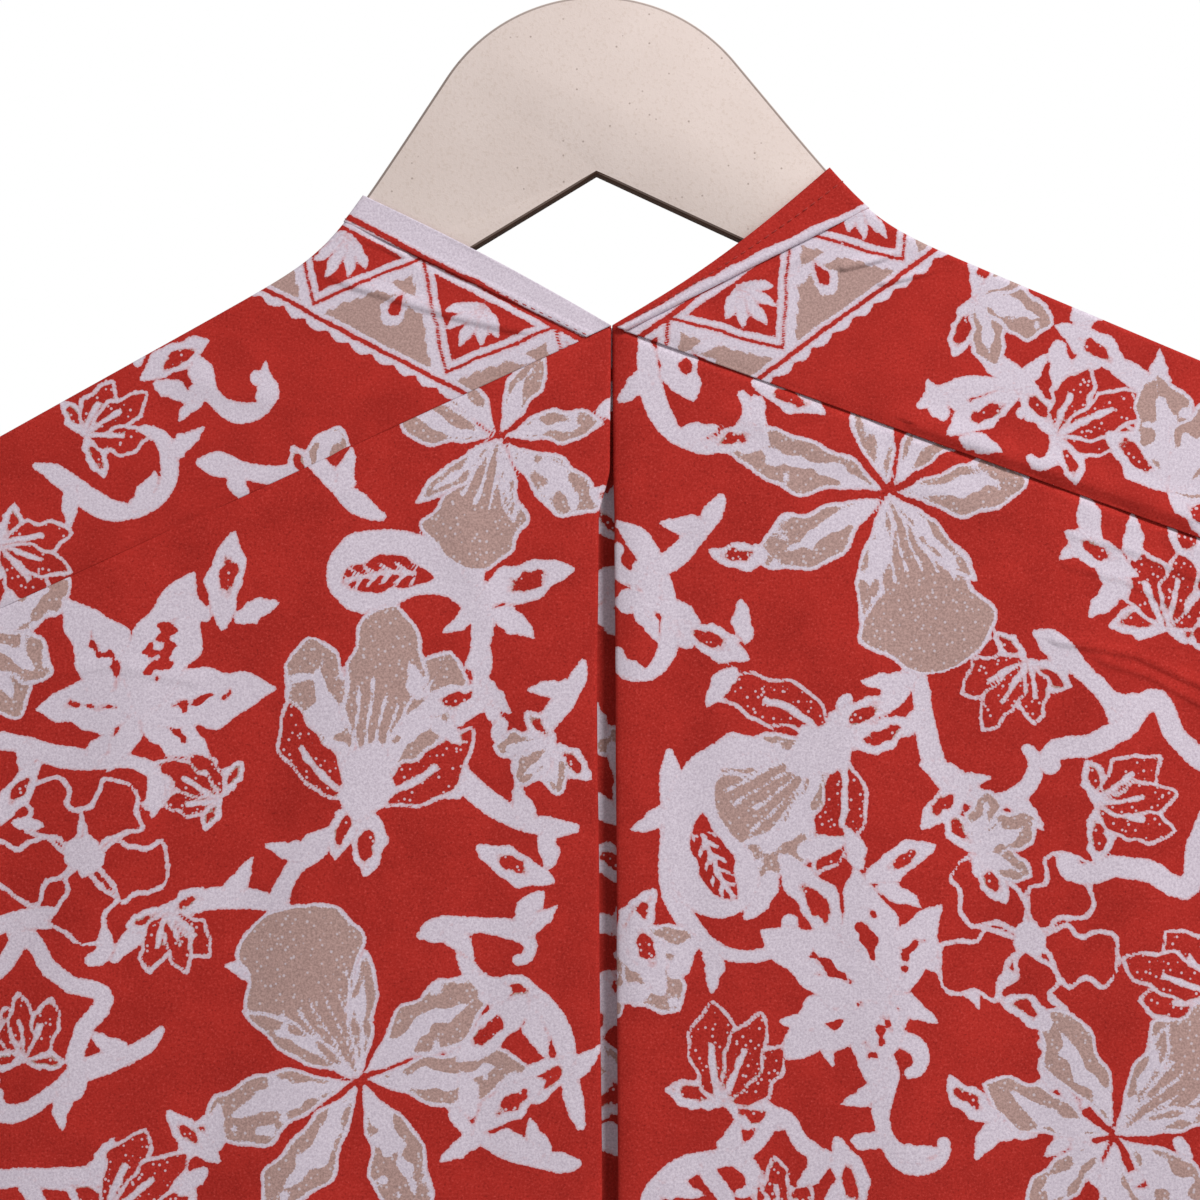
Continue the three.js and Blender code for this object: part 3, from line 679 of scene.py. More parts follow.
class Wax:
    """The wax-resist print of one piece: at each point of the flat cloth, in mm, the signed distance
    to the undyed areas and to the taupe ones. Taupe over dyed ground stands for dotted red."""

    def __init__(self, flat, layers):
        s, t = flat[:, 0], flat[:, 1]
        waver = 0.5 * (drift(s, t, 8, 41) + 1j * drift(s, t, 8, 42))
        self.p = s + 1j * t + waver + 0.2 * (drift(s, t, 2.6, 43) + 1j * drift(s, t, 2.6, 44))
        self.low = min(s) + 1j * min(t)
        self.high = max(s) + 1j * max(t)
        self.white = np.full(len(s), AWAY)
        self.taupe = np.full(len(s), AWAY)
        for rows, self.shift in layers:
            self.draw(rows)

    def draw(self, rows):
        """Draws rows, each with its kind, its place and what else that takes, the vines first."""
        for kind, *values in sorted(rows, key=lambda row: row[0] != "vine"):
            if len(values) > 1:
                values[:2] = [complex(*values[:2])]
            if kind in MOTIFS:
                self.bloom(kind, *values)
            else:
                getattr(self, kind)(*values)

    def near(self, middle, radius):
        """The points within a radius, or none where the piece is clearly elsewhere."""
        inside = self.low.real - radius < middle.real < self.high.real + radius
        if inside and self.low.imag - radius < middle.imag < self.high.imag + radius:
            return np.flatnonzero(np.abs(self.p - middle) < radius)
        return np.zeros(0, int)

    def lay(self, at, cover, white, taupe=AWAY, joins=True):
        """Paints over what is below: each is a signed distance, negative inside. A shape with an
        undyed margin joins the undyed cloth around it."""
        below = self.white[at]
        laid = np.minimum(np.maximum(below, -cover), white)
        self.white[at] = np.minimum(laid, np.maximum(below, np.abs(cover) - 1.1)) if joins else laid
        self.taupe[at] = np.minimum(np.maximum(self.taupe[at], -cover), taupe)

    def stamp(self, d, fill, at=slice(None)):
        """A plain shape: undyed, brown or dyed through."""
        light = fill != "dyed"
        self.lay(at, d, d if light else AWAY, d if fill == "brown" else AWAY, light)

    def leaf(self, place, heading, length, half, bend=0.0, fill="white", peak=0.5, full=0.75):
        """A bent leaf or petal from its base; its middle line turns by bend on the way."""
        base = place + self.shift
        at = self.near(base + ray(heading) * length / 2, length * 0.62 + half + 3)
        if not len(at):
            return
        q = (self.p[at] - base) / ray(heading)
        # How far each point is along the leaf, and across it.
        if abs(bend) > 0.02:
            radius = length / bend
            turned = 1 + 1j * q / radius
            a, c = radius * np.angle(turned), radius * (1 - np.abs(turned))
        else:
            a, c = q.real, q.imag
        u = a / length

        def reach(share):
            share = np.clip(share, 0.001, 0.999)
            bulge = np.sin(math.pi * share ** (math.log(0.5) / math.log(peak)))
            ruffle = np.sin(11 * share + place.real + 1.7 * np.sign(c)) * (2 if fill == "line" else 1)
            return half * bulge**full * (1 + 0.12 * ruffle + 0.07 * np.sin(23 * share + place.imag))

        slope = (reach(u + 0.01) - reach(u - 0.01)) / (0.02 * length)
        over = np.maximum(0, np.maximum(-a, a - length))
        d = np.where(over > 0, np.hypot(c, over), (np.abs(c) - reach(u)) / np.hypot(1, slope))
        s, t = self.p[at].real, self.p[at].imag
        ragged, coarse = drift(s, t, 2.4, 51), drift(s, t, 4.5, 52)
        edge = d + 1.5 + 0.35 * coarse
        if fill in ("white", "dyed"):
            self.stamp(d, fill, at)
        elif fill == "hollow":
            hole = np.hypot((a - 0.55 * length) / 2.3, c - 0.1 * half) - half * 0.42 + ragged * 0.9
            self.lay(at, d, np.maximum(d, -np.maximum(hole, edge + 0.6)), np.maximum(hole, edge))
        elif fill == "chip":
            hole = np.hypot((a - 0.45 * length) / 3.2, c + 0.3 * half * coarse) - half * 0.2 + ragged * 1.7
            self.lay(at, d, np.maximum(d, -np.maximum(hole, edge + 2)))
        elif fill == "red":
            vein = np.maximum(np.abs(c + 0.12 * half) - 0.09 * half - 0.5, a - 0.6 * length) + 0.4 * ragged
            self.lay(at, d, np.minimum(np.maximum(d, -edge), np.maximum(vein, d)), np.maximum(edge, -vein))
        elif fill == "line":
            self.lay(at, d, np.maximum(d, -(d + 1.9)))
        elif fill == "fern":
            barbs = np.maximum(np.abs(((a + 1.1 * np.abs(c)) % 5.4) - 2.7) - 1.1, np.abs(c) - 0.6 * half)
            fern = np.maximum(np.minimum(np.abs(c) - 0.9, barbs + 0.4 * ragged), a - 0.8 * length)
            self.lay(at, d, np.maximum(d + 0.5, fern), joins=False)
        elif fill == "taupe":
            streak = half * 0.36 * np.sin(math.pi * np.clip(u / 0.8, 0, 1)) ** 0.7 * (1 + 0.8 * coarse)
            core = streak - np.abs(c + 0.22 * half * drift(s, t, 11, 53))
            bare = np.maximum(3 * (coarse - 0.5), 0.06 * length - a)
            self.lay(at, d, d, np.maximum(np.maximum(edge, core + 0.4 * ragged), bare))
        elif fill == "full":
            veins = np.abs(((c / (0.35 + u)) % 6.2) - 3.1) - 0.8 + 0.5 * ragged
            veins = np.maximum(veins, a - (0.5 + 0.1 * coarse) * length)
            self.lay(at, d, d, np.maximum(edge, -veins))

    def line(self, path, radii, fill="white"):
        """A soft stroke along points, its half width changing on the way."""
        path = path + self.shift
        radii = radii + 0 * path.real
        middle = path.mean()
        at = self.near(middle, np.abs(path - middle).max() + radii.max() + 3)
        best = np.full(len(at), 99.0)
        for a, b, near, far in zip(path, path[1:], radii, radii[1:]):
            v = np.clip(((self.p[at] - a) / (b - a)).real, 0, 1)
            best = np.minimum(best, np.abs(self.p[at] - a - v * (b - a)) - mix(near, far, v))
        self.stamp(best, fill, at)

    def vine(self, place, heading, length, bend, sway):
        """A stem that turns by bend on its way, sways across it and ends in a curl, with thorns."""
        steps, curl, thorn_gap = 28, 2.6, 26
        share = np.linspace(0, 1, steps + 1)
        turn = math.radians(heading) + bend * share + sway * np.sin(2 * math.pi * share)
        turn += math.copysign(curl, bend) * share**5
        path = place + length / steps * np.cumsum(np.exp(1j * turn))
        taper = np.minimum(1, 0.35 + 6 * share)
        uneven = 0.17 * np.sin(13 * share + place.real)
        self.line(path, 3.8 * taper * (1.15 - 0.5 * share + uneven))
        for k, n in enumerate(range(5, 24, max(5, round(steps * thorn_gap / length)))):
            way = -1 if k % 2 else 1
            self.leaf(path[n], math.degrees(turn[n]) + 48 * way, 17, 3.6, 0.3 * way, "white", 0.3)

    def paisley(self, place, heading, size):
        """A drop with a fern in its head, whose tail curls round."""
        share = np.linspace(0, 1, 22)
        turn = math.radians(heading) + 2.5 * share**1.4
        path = place + 3.2 * size * np.cumsum(np.exp(1j * turn))
        self.line(path, size * (13 * (1 - share) ** 1.3 + 2.4))
        head = path[0] - 11 * size * ray(heading)
        self.leaf(head, heading, 34 * size, 6.5 * size, 0.6, "fern", 0.45)

    def frame(self, place, heading, size):
        """A cusped ring, open at its foot, with a bud inside."""
        angle = np.linspace(-2.6, 2.6, 61)
        reach = size * (21 + 9 * np.abs(np.cos(2.5 * angle)) ** 5)
        self.line(place + reach * np.exp(1j * (math.radians(heading) + angle)), size * 3.3)
        self.bloom("bud", place - 14 * size * ray(heading), heading, 0.75 * size)

    def bloom(self, kind, place, heading, size):
        """A flower, bud or leaf from the motifs, a little uneven each time."""
        chance = np.random.default_rng(abs(round(7 * place.real + 13 * place.imag)))
        for turn, start, length, half, bend, fill, peak, full in MOTIFS[kind]:
            for way in (1, -1) if turn % 180 else (1,):
                angle = heading + way * turn + chance.uniform(-7, 7)
                grown = size * chance.uniform(0.88, 1.12)
                base = place + start * size * ray(angle)
                self.leaf(base, angle, length * grown, half * grown, way * bend, fill, peak, full)

    def panel(self, side):
        """The border at the neck: a row of toothed triangles, brown ones with a drop between dyed
        ones with a fan, on a pale ground between dyed lines."""
        pitch, ground, inner = 54, 49, 44
        along = flat_place(shoulder(side, NECK_HALF[side]))
        along /= abs(along)
        q = self.p / along
        run, across = q.real + pitch / 6, side * q.imag
        self.stamp(across - ground - 2 * np.abs(np.sin(math.pi * run / 9)), "white")
        peak = np.abs((run / pitch) % 1 * 2 - 1)
        teeth = 1.1 * np.abs(np.sin(math.pi * run / 3.4))
        below = 0.62 * (14 + 33 * peak - across)
        self.stamp(np.maximum(below + 1.2 + teeth, across - inner), "brown")
        self.stamp(np.maximum(5.5 - below, 13 - across), "dyed")
        self.stamp(np.maximum(np.abs(below - 2.6) - 0.55, across - inner), "dyed")
        for line, half in ((9.5, 1.0), (46.5, 0.8)):
            self.line(along * (np.linspace(-20, 140, 60) + 1j * side * line), half, "dyed")
        out = math.degrees(np.angle(1j * side * along))
        for k in range(-1, 4):
            fan = along * (pitch * k - 9 + 1j * side * 14)
            for turn in (-50, -25, 0, 25, 50):
                self.leaf(fan, out + turn, 19 - abs(turn) / 10, 2.2, 0, "white", 0.6)
            drop = along * (pitch * k + 18 + 1j * side * 24)
            self.leaf(drop, out, 14, 4.6, 0, "white", 0.6)
            self.leaf(drop, out, 10, 2.2, 0, "dyed", 0.7)
            for turn in (-64, 64):
                self.leaf(drop, out + turn, 13, 2.2, turn / 90, "white")

    def fold(self, side):
        """The red of the right band, with a pale edge along its fold."""
        corners = neck_corners(side)
        share = np.linspace(-0.05, 1.05, 12)
        edge = mix(flat_place(corners["band_back"]), flat_place(shoulder(side, corners["band_top"])), share)
        self.stamp(0 * self.white - 5, "dyed")
        self.line(edge - 1.2j, 1 + 1.7 * np.sin(math.pi * np.clip(share, 0, 1)))


# A motif's leaves: turn from its heading, start along that, length, half width, bend, fill, where it
# is widest and how blunt it is. A leaf turned to one side has a twin on the other.
MOTIFS = {
    "orchid": [
        (180, 2, 46, 9, 0.2, "taupe", 0.6, 0.7),
        (126, 2, 50, 9, -0.3, "taupe", 0.6, 0.7),
        (130, 44, 26, 5.5, -1.0, "hollow", 0.45, 0.75),
        (72, 2, 52, 11, 0.3, "taupe", 0.62, 0.75),
        (80, 46, 22, 5, 0.9, "hollow", 0.4, 0.75),
        (0, 0, 60, 21, 0.0, "full", 0.7, 0.5),
        (27, 0, 44, 5, 0.1, "taupe", 0.55, 0.75),
    ],
    "bell": [
        (28, 6, 46, 10.5, -0.25, "taupe", 0.62, 0.6),
        (0, 6, 54, 12, 0.0, "full", 0.64, 0.55),
        (76, 2, 42, 8, -1.0, "red", 0.5, 0.7),
        (148, 2, 22, 5, 0.6, "hollow", 0.5, 0.75),
        (0, -8, 26, 8.5, 0.0, "white", 0.5, 0.75),
    ],
    "bud": [
        (78, 0, 22, 5.5, 0.6, "hollow", 0.5, 0.75),
        (34, 0, 32, 8.5, -0.2, "red", 0.5, 0.75),
        (0, 0, 36, 7.5, 0.0, "red", 0.55, 0.7),
    ],
    "flame": [
        (90, 0, 36, 8.5, 0.4, "chip", 0.4, 0.9),
        (46, 0, 50, 11, 0.3, "chip", 0.42, 0.85),
        (0, 0, 56, 12, 0.1, "chip", 0.45, 0.8),
        (180, 0, 22, 4, 0.2, "white", 0.4, 0.75),
    ],
    "blossom": [
        (0, 2, 32, 11.5, 0.0, "line", 0.64, 0.5),
        (72, 2, 31, 11, 0.1, "line", 0.62, 0.5),
        (144, 2, 30, 10.5, 0.1, "line", 0.62, 0.5),
        (0, -7, 14, 6, 0.0, "white", 0.5, 0.5),
    ],
    "petals": [
        (82, 0, 28, 6.5, 0.3, "hollow", 0.5, 0.75),
        (40, 0, 36, 9, 0.2, "taupe", 0.6, 0.7),
        (0, 0, 36, 10, 0.1, "taupe", 0.6, 0.7),
    ],
    "sprig": [
        (54, 6, 20, 4.2, 0.4, "white", 0.4, 0.75),
        (0, 0, 36, 6.5, 0.3, "hollow", 0.5, 0.75),
    ],
}
# The layout: a motif, x from the centre line, y down from the back point, heading (0 right, 90
# down) and size. A vine has its length, bend and sway instead of a size.
LEFT_PRINT = [
    ("vine", -80, 70, 200, 90, 0.7, 0.3),
    ("vine", -50, 90, 70, 50, 0.4, 0.2),
    ("vine", -230, 150, 350, 80, 0.3, 0.4),
    ("vine", -10, 180, 170, 90, 1.9, 0.1),
    ("vine", -10, 290, 250, 100, -0.9, 0.4),
    ("vine", -10, 120, 100, 50, 0.9, 0.2),
    ("vine", -100, 180, 130, 60, -0.6, 0.2),
    ("vine", -180, 230, 300, 110, 2.1, 0.1),
    ("vine", -160, 250, 120, 80, 0.8, 0.5),
    ("vine", -10, 300, 180, 60, 0.5, 0.1),
    ("vine", -230, 310, 330, 90, 0.6, 0.4),
    ("petals", -230, 110, 20, 1.0),
    ("flame", -170, 140, 290, 1.0),
    ("sprig", -140, 110, 270, 1.0),
    ("paisley", -90, 90, 340, 1.0),
    ("sprig", -50, 100, 330, 1.1),
    ("orchid", -40, 40, 110, 0.8),
    ("bell", -90, 170, 280, 1.1),
    ("sprig", -70, 140, 330, 0.8),
    ("blossom", -190, 190, 20, 1.0),
    ("frame", -210, 250, 270, 1.0),
    ("orchid", -90, 270, 240, 1.1),
    ("bud", -180, 320, 320, 1.0),
    ("sprig", -50, 290, 320, 1.0),
    ("vine", -140, 230, 10, 60, -0.8, 0.1),
    ("vine", -70, 220, 330, 50, 0.9, 0.2),
    ("vine", -230, 220, 330, 60, 0.8, 0.1),
    ("bud", -140, 170, 210, 0.7),
    ("sprig", -20, 200, 200, 0.9),
    ("sprig", -30, 240, 130, 0.9),
    ("petals", -20, 150, 130, 0.6),
    ("sprig", -140, 300, 210, 0.8),
    ("bud", -160, 210, 70, 0.7),
    ("sprig", -220, 180, 300, 0.7),
]
REPEAT = 68 + 241j  # from one cell of the print to the next one down
ACROSS = 218.0  # and to the next one beside it
REPEATED_BELOW = 92  # the rows from here down are the ones that repeat


def repeats(rows, first, last, start=0j):
    """The rows again in cells further down the cloth."""
    low = [row for row in rows if row[2] >= REPEATED_BELOW]
    cells = [k * REPEAT + m * ACROSS for k in range(first, last) for m in range(-3, 3)]
    return [(low, start + cell) for cell in cells]


def print_cloth(mesh, flat, layers, dotted=1.0, before=()):
    """Prints layers of rows, each with its shift, and keeps the print with the mesh's points. The
    third flat coordinate says whether the brown areas have white dots. A piece that goes over the
    shoulder has its own layers for the front."""
    wax = Wax(flat, layers)
    if before:
        ahead = Wax(flat, before)
        in_front = np.array([v.co.y for v in mesh.vertices]) > 0
        wax.white = np.where(in_front, ahead.white, wax.white)
        wax.taupe = np.where(in_front, ahead.taupe, wax.taupe)
    place = np.column_stack([flat, dotted + 0 * flat[:, 0]])
    for name, values in (("white", wax.white), ("taupe", wax.taupe), ("flat", place)):
        kind, slot = ("FLOAT_VECTOR", "vector") if name == "flat" else ("FLOAT", "value")
        store = mesh.attributes.new(name, kind, "POINT")
        store.data.foreach_set(slot, values.ravel().astype(np.float32))


def make_batik_material():
    """Red cotton with its undyed and taupe areas, their edges frayed by noise."""
    cloth = Nodes("batik_cloth")

    def stored(name, output):
        return cloth.node("ShaderNodeAttribute", {"attribute_name": name}).outputs[output]

    place, white, taupe = stored("flat", "Vector"), stored("white", "Fac"), stored("taupe", "Fac")
    fray = cloth.math("MULTIPLY_ADD", cloth.noise(place, 0.75, 3, 0.65), 1.5, -0.75)
    white = cloth.math("ADD", white, fray)
    fray = cloth.math("MULTIPLY_ADD", cloth.noise(place, 1.1, 3, 0.7), 2.2, -1.1)
    taupe = cloth.math("ADD", taupe, fray)
    dots = cloth.node("ShaderNodeTexVoronoi", {"feature": "F1"}, Vector=place, Scale=0.42)
    dot = cloth.ramp(dots.outputs["Distance"], 0.26, 0.18)
    blotch = cloth.noise(place, 0.05, 3, 0.6)
    fine = cloth.noise(place, 1.15, 4, 0.8)
    red = cloth.mix(cloth.ramp(blotch, 0.3, 0.7), (0.41, 0.0225, 0.016), (0.49, 0.0285, 0.0205))
    red = cloth.mix(cloth.ramp(fine, 0.5, 0.8), red, (0.7, 0.085, 0.07))
    red = cloth.mix(cloth.ramp(fine, 0.5, 0.24), red, (0.2, 0.010, 0.008))
    bare = cloth.mix(cloth.ramp(fine, 0.28, 0.72), (0.545, 0.46, 0.545), (0.83, 0.735, 0.825))
    brown = cloth.mix(cloth.ramp(fine, 0.28, 0.72), (0.32, 0.2, 0.18), (0.6, 0.385, 0.35))
    dotted = cloth.math("MULTIPLY", cloth.node("ShaderNodeSeparateXYZ", Vector=place).outputs["Z"], 0.8)
    brown = cloth.mix(cloth.math("MULTIPLY", dot, dotted), brown, (0.66, 0.57, 0.62))
    spotted = cloth.mix(cloth.math("MULTIPLY", dot, 0.85), red, (0.72, 0.55, 0.6))
    in_taupe = cloth.ramp(taupe, 0.15, -0.15)
    in_white = cloth.ramp(white, 0.12, -0.12)
    bleed = cloth.ramp(white, -0.9, 0.0)
    bare = cloth.mix(cloth.math("MULTIPLY", bleed, 0.45), bare, (0.62, 0.25, 0.25))
    light = cloth.mix(in_taupe, bare, brown)
    dark = cloth.mix(in_taupe, red, spotted)
    colour = cloth.mix(in_white, dark, light)
    # The weave: two sets of threads, a little uneven.
    uneven = {"Vector": place, "Scale": 0.8, "Distortion": 0.6, "Detail_Scale": 1.5}
    threads = [cloth.node("ShaderNodeTexWave", {"bands_direction": way}, **uneven) for way in "XY"]
    weave = cloth.math("ADD", *(waves.outputs["Fac"] for waves in threads))
    weave = cloth.math("ADD", weave, cloth.math("MULTIPLY", fine, 1.5))
    rumple = cloth.bump(cloth.noise(place, 0.11, 4, 0.55), 0.35, 0.001)
    normal = cloth.bump(weave, 0.22, 0.0001, Normal=rumple)
    return cloth.finish(Base_Color=colour, Roughness=0.86, Normal=normal, Specular_IOR_Level=0.12)


batik = make_batik_material()


def add_cloth(name, blocks, inner, outwards, layers, slot="batik_cloth", through=False, **how):
    """Makes a printed piece of the dress from its grids. A print laid through both faces of the
    piece from the side goes by where the cloth is and not by its flat places."""
    mesh, flat = lay_shell(name, blocks, inner, outwards)
    if through:
        points = np.array([v.co[:] for v in mesh.vertices]) * 1000
        flat = np.stack([points[:, 0] - CENTRE, BACK_POINT - points[:, 2]], -1)
    print_cloth(mesh, flat, layers, **how)
    mesh.shade_smooth()
    return add_piece(name, mesh, batik, [name])


def add_back(side, own_layer):
    """Close rows and columns where the view comes near, wider ones down to the hem."""
    rest = CLOSE_ROWS_END - HEM
    near = back_grid(side, back_across(212, 8, 6), np.linspace(0, 1, 291), None, CLOSE_ROWS_END)
    lower = back_grid(side, back_across(82, 4, 4), np.linspace(0, 1, 180), CLOSE_ROWS_END - rest / 180)
    inner = back_grid(side, back_across(82, 4, 4), np.linspace(0, 1, 161) ** 1.2)
    layers = [*repeats(LEFT_PRINT, 1, 5), (own_layer, 0j)]
    back = add_cloth("back_" + SIDES[side], [near, lower], inner, -side, layers)
    down = beside((rest - HEM_TURNING) / rest, 0.003)
    hem, _ = back_grid(side, np.linspace(0, 1, 201), down, CLOSE_ROWS_END)
    stitches = add_stitches("hem_stitches_" + SIDES[side], hem, -side)


add_back(-1, LEFT_PRINT)

# ---- Back, right half ----
# The same printed cotton, turned under 35 mm at the pleat's right edge and rolled in beside it. It
# is sewn to the right yoke and to the front's right side, and drags in soft lines to the arm.
BACK_FOLDS[1] = [
    (34, 0.04, -200, -560, 9, -0.8),
    (83, 0.14, -222, -1400, 16, 1.4),
    (128, 0.2, -290, -1000, 14, -1.6),
    (176, 0.18, -250, -1400, 18, 1.6),
    (214, 0.25, -340, -1400, 14, -1.8),
]
BACK_CREASES[1] = [
    ([(160, 114), (188, 119), (216, 132)], 3, 0.8, 0.9),
    ([(176, 121), (194, 127), (216, 139)], 2.6, 0.8, 0.7),
    ([(166, 76), (186, 81), (212, 92)], 3, 0.9, 0.5),
    ([(164, 87), (184, 92), (206, 103)], 3, 0.9, 0.45),
    ([(40, 30), (90, 50), (150, 70)], 6, 5, 0.6),
    ([(70, 330), (96, 250), (130, 200)], 8, 8, 0.7),
]
RIGHT_PRINT = [
    ("vine", 10, 0, 70, 80, -0.8, 0.4),
    ("vine", 0, 70, 30, 80, 1.7, 0.1),
    ("vine", 0, 100, 350, 40, 0.7, 0.1),
    ("vine", 110, 120, 80, 90, -1.0, 0.3),
    ("vine", 110, 120, 110, 40, 0.9, 0.1),
    ("vine", 20, 150, 80, 110, -0.2, 0.3),
    ("vine", 60, 250, 350, 60, 0.4, 0.3),
    ("vine", 100, 260, 100, 60, -0.9, 0.2),
    ("vine", 110, 230, 350, 70, 0.9, 0.2),
    ("vine", 170, 60, 80, 60, -0.7, 0.1),
    ("vine", 10, 320, 290, 60, 1.6, 0.1),
    ("vine", 160, 270, 60, 80, -0.6, 0.4),
    ("petals", 0, 220, 50, 0.9),
    ("sprig", 50, 20, 20, 0.8),
    ("orchid", 100, 60, 70, 1.05),
    ("bell", 80, 150, 150, 1.1),
    ("sprig", 60, 190, 50, 1.0),
    ("paisley", 40, 200, 230, 1.0),
    ("flame", 100, 240, 200, 1.0),
    ("blossom", 150, 220, 230, 1.0),
    ("bud", 40, 280, 290, 1.1),
    ("frame", 60, 310, 270, 0.9),
    ("frame", 190, 170, 350, 1.2),
    ("bud", 200, 110, 280, 1.0),
    ("bud", 220, 240, 200, 1.0),
    ("petals", 200, 60, 340, 1.1),
    ("leaf", 18, 2, 60, 28, 7, 0.2, "white"),
    ("leaf", 27, 12, 90, 6, 2.4, 0, "dyed"),  # a stain
    ("vine", 40, 60, 110, 60, 0.9, 0.1),
    ("vine", 150, 110, 20, 60, 0.8, 0.2),
    ("vine", 130, 300, 290, 60, 0.9, 0.2),
    ("sprig", 50, 120, 200, 0.9),
    ("bud", 150, 120, 120, 0.8),
    ("sprig", 130, 160, 130, 0.8),
    ("orchid", 180, 290, 320, 0.95),
    ("sprig", 90, 200, 320, 0.8),
    ("sprig", 80, 290, 60, 0.9),
    ("petals", 130, 190, 330, 0.7),
    ("sprig", 20, 240, 240, 0.9),
    ("sprig", 190, 90, 200, 0.9),
]
add_back(1, RIGHT_PRINT)

# ---- Pleat underlay ----
# The middle of the inverted pleat, behind the two folded edges; the same cloth, joined to the
# turned-under cloth at its two sides and sewn in with the yoke seam.
def underlay_grid(across, down):
    u, v = np.meshgrid(across, down, indexing="ij")

    def at(z):
        reach = np.where(u < 0, CENTRE - pleat_edge(-1, z), pleat_edge(1, z) - CENTRE)
        return CENTRE + u * (reach + 35)

    top = np.full_like(u, BACK_POINT)
    for _ in range(5):
        x = at(top)
        top = np.where(u < 0, seam_line(-1, x), seam_line(1, x)) - SEAM_GAP / 2
    z = mix(top, HEM, v)
    x = at(z)
    depth = np.where(u < 0, body_depth(-1, -1, x, z), body_depth(1, -1, x, z))
    slit = (pleat_edge(1, z) - pleat_edge(-1, z)) / 2
    sunk = 1.4 + 5 * ease((BACK_POINT - z - 20) / 60)
    behind = 3.5 + sunk * np.exp(-(((x - CENTRE) / (5 + slit)) ** 2)) + 0.3 * drift(x, z, 20, 9)
    grid = np.stack([x, behind - depth, z], -1)
    return grid, np.stack([x - CENTRE, BACK_POINT - z], -1)


underlay = add_cloth(
    "back_pleat_underlay",
    [underlay_grid(np.linspace(-1, 1, 61), np.linspace(0, 1, 361))],
    underlay_grid(np.linspace(-1, 1, 21), np.linspace(0, 1, 121)),
    -1,
    repeats(LEFT_PRINT, -1, 5, 36 + 0j),
)

# ---- Front ----
# The whole front in one piece with a deeper neck, hidden in the view and finished plainly. It is
# sewn to the neck bands, the yokes, the sleeves and the back's sides.
FRONT_POINT = -292.0
FRONT_SHIFT = 60 + 20j  # of the repeated print
FRONT_FOLDS = [
    (-60, -0.12, -330, -1400, 18, 1.8),
    (-118, -0.2, -300, -1000, 14, -1.6),
    (-168, -0.26, -330, -1400, 17, 2.0),
    (2, -0.02, -360, -1400, 22, -1.7),
    (52, 0.08, -330, -980, 15, 1.6),
    (96, 0.16, -360, -1400, 20, -1.9),
    (150, 0.24, -300, -1400, 17, 1.7),
    (205, 0.3, -340, -1100, 13, -1.5),
]


def neck_corners(side):
    """One side's neck band: its edges along the shoulder, the back seam and the front seam."""
    edge = CENTRE + side * SEAM_GAP / 2
    foot = CENTRE + side * BAND_FOOT[side]
    return {
        "top": NECK_HALF[side],
        "band_top": NECK_HALF[side] + BAND_OUT[side],
        "back": (edge, BACK_POINT + SEAM_GAP / 2),
        "band_back": (foot, seam_line(side, foot) + SEAM_GAP / 2),
        "front": (edge, FRONT_POINT),
        "band_front": (edge, FRONT_POINT - 15),
    }


def front_start(side):
    """Where the front yoke seam leaves the neck band."""
    corners = neck_corners(side)
    top = shoulder(side, corners["band_top"])
    foot = corners["band_front"]
    return mix(foot[0], top[0], 0.47), mix(foot[1], top[1], 0.47)


def front_grid(across, down):
    u, v = np.meshgrid(across, down, indexing="ij")
    side = np.where(u < 0, -1, 1)
    top = np.full_like(u, FRONT_POINT)

    def at(z):
        return CENTRE + np.abs(u) * (side_line(side, z) - CENTRE)

    for _ in range(6):
        x = at(top)
        for s in SIDES:
            start, foot = front_start(s), neck_corners(s)["band_front"]
            gap = SEAM_GAP * math.hypot(1, (start[1] - foot[1]) / (start[0] - foot[0]))
            share = (x - CENTRE) / (start[0] - CENTRE)
            yoke = start[1] - SEAM_SLOPE[s] * np.abs(x - start[0])
            edge = np.where(share < 1, mix(foot[1], start[1], np.clip(share, 0, 1)), yoke) - gap
            top = np.where(side == s, edge, top)
    z = mix(top, HEM, v)
    x = at(z)
    depth = np.where(u < 0, body_depth(-1, 1, x, z), body_depth(1, 1, x, z))
    from_side = np.minimum(np.abs(side_line(-1, z) - x), np.abs(side_line(1, z) - x))
    lift = soft_folds(FRONT_FOLDS, x, z) * ease((top - z) / 25) + seam_tuck(top - z, x, 21)
    grid = np.stack([x, depth + lift * ease(from_side / 12), z], -1)
    # The cloth is taken up from the middle outwards.
    taken = taken_up(grid)
    taken = taken - taken[np.abs(across).argmin()]
    return grid, np.stack([x - CENTRE + taken, BACK_POINT - z], -1)


front = add_cloth(
    "front",
    [front_grid(np.linspace(-1, 1, 201), np.linspace(0, 1, 361))],
    front_grid(np.linspace(-1, 1, 101), np.linspace(0, 1, 161)),
    1,
    repeats(LEFT_PRINT, -1, 5, FRONT_SHIFT),
)
hem, _ = front_grid(np.linspace(-0.99, 0.99, 401), beside(0.9844, 0.002))
stitches = add_stitches("hem_stitches_front", hem, 1)

# ---- Left yoke ----
# One piece of the printed cotton that lies over the hanger's arm, from the slanting back seam to the
# front seam. Its neck edge is sewn to the band and its end to the sleeve; a tuck pulls it to the band.
BEND = 1.2  # radius of the cloth's turn over the plate's edge


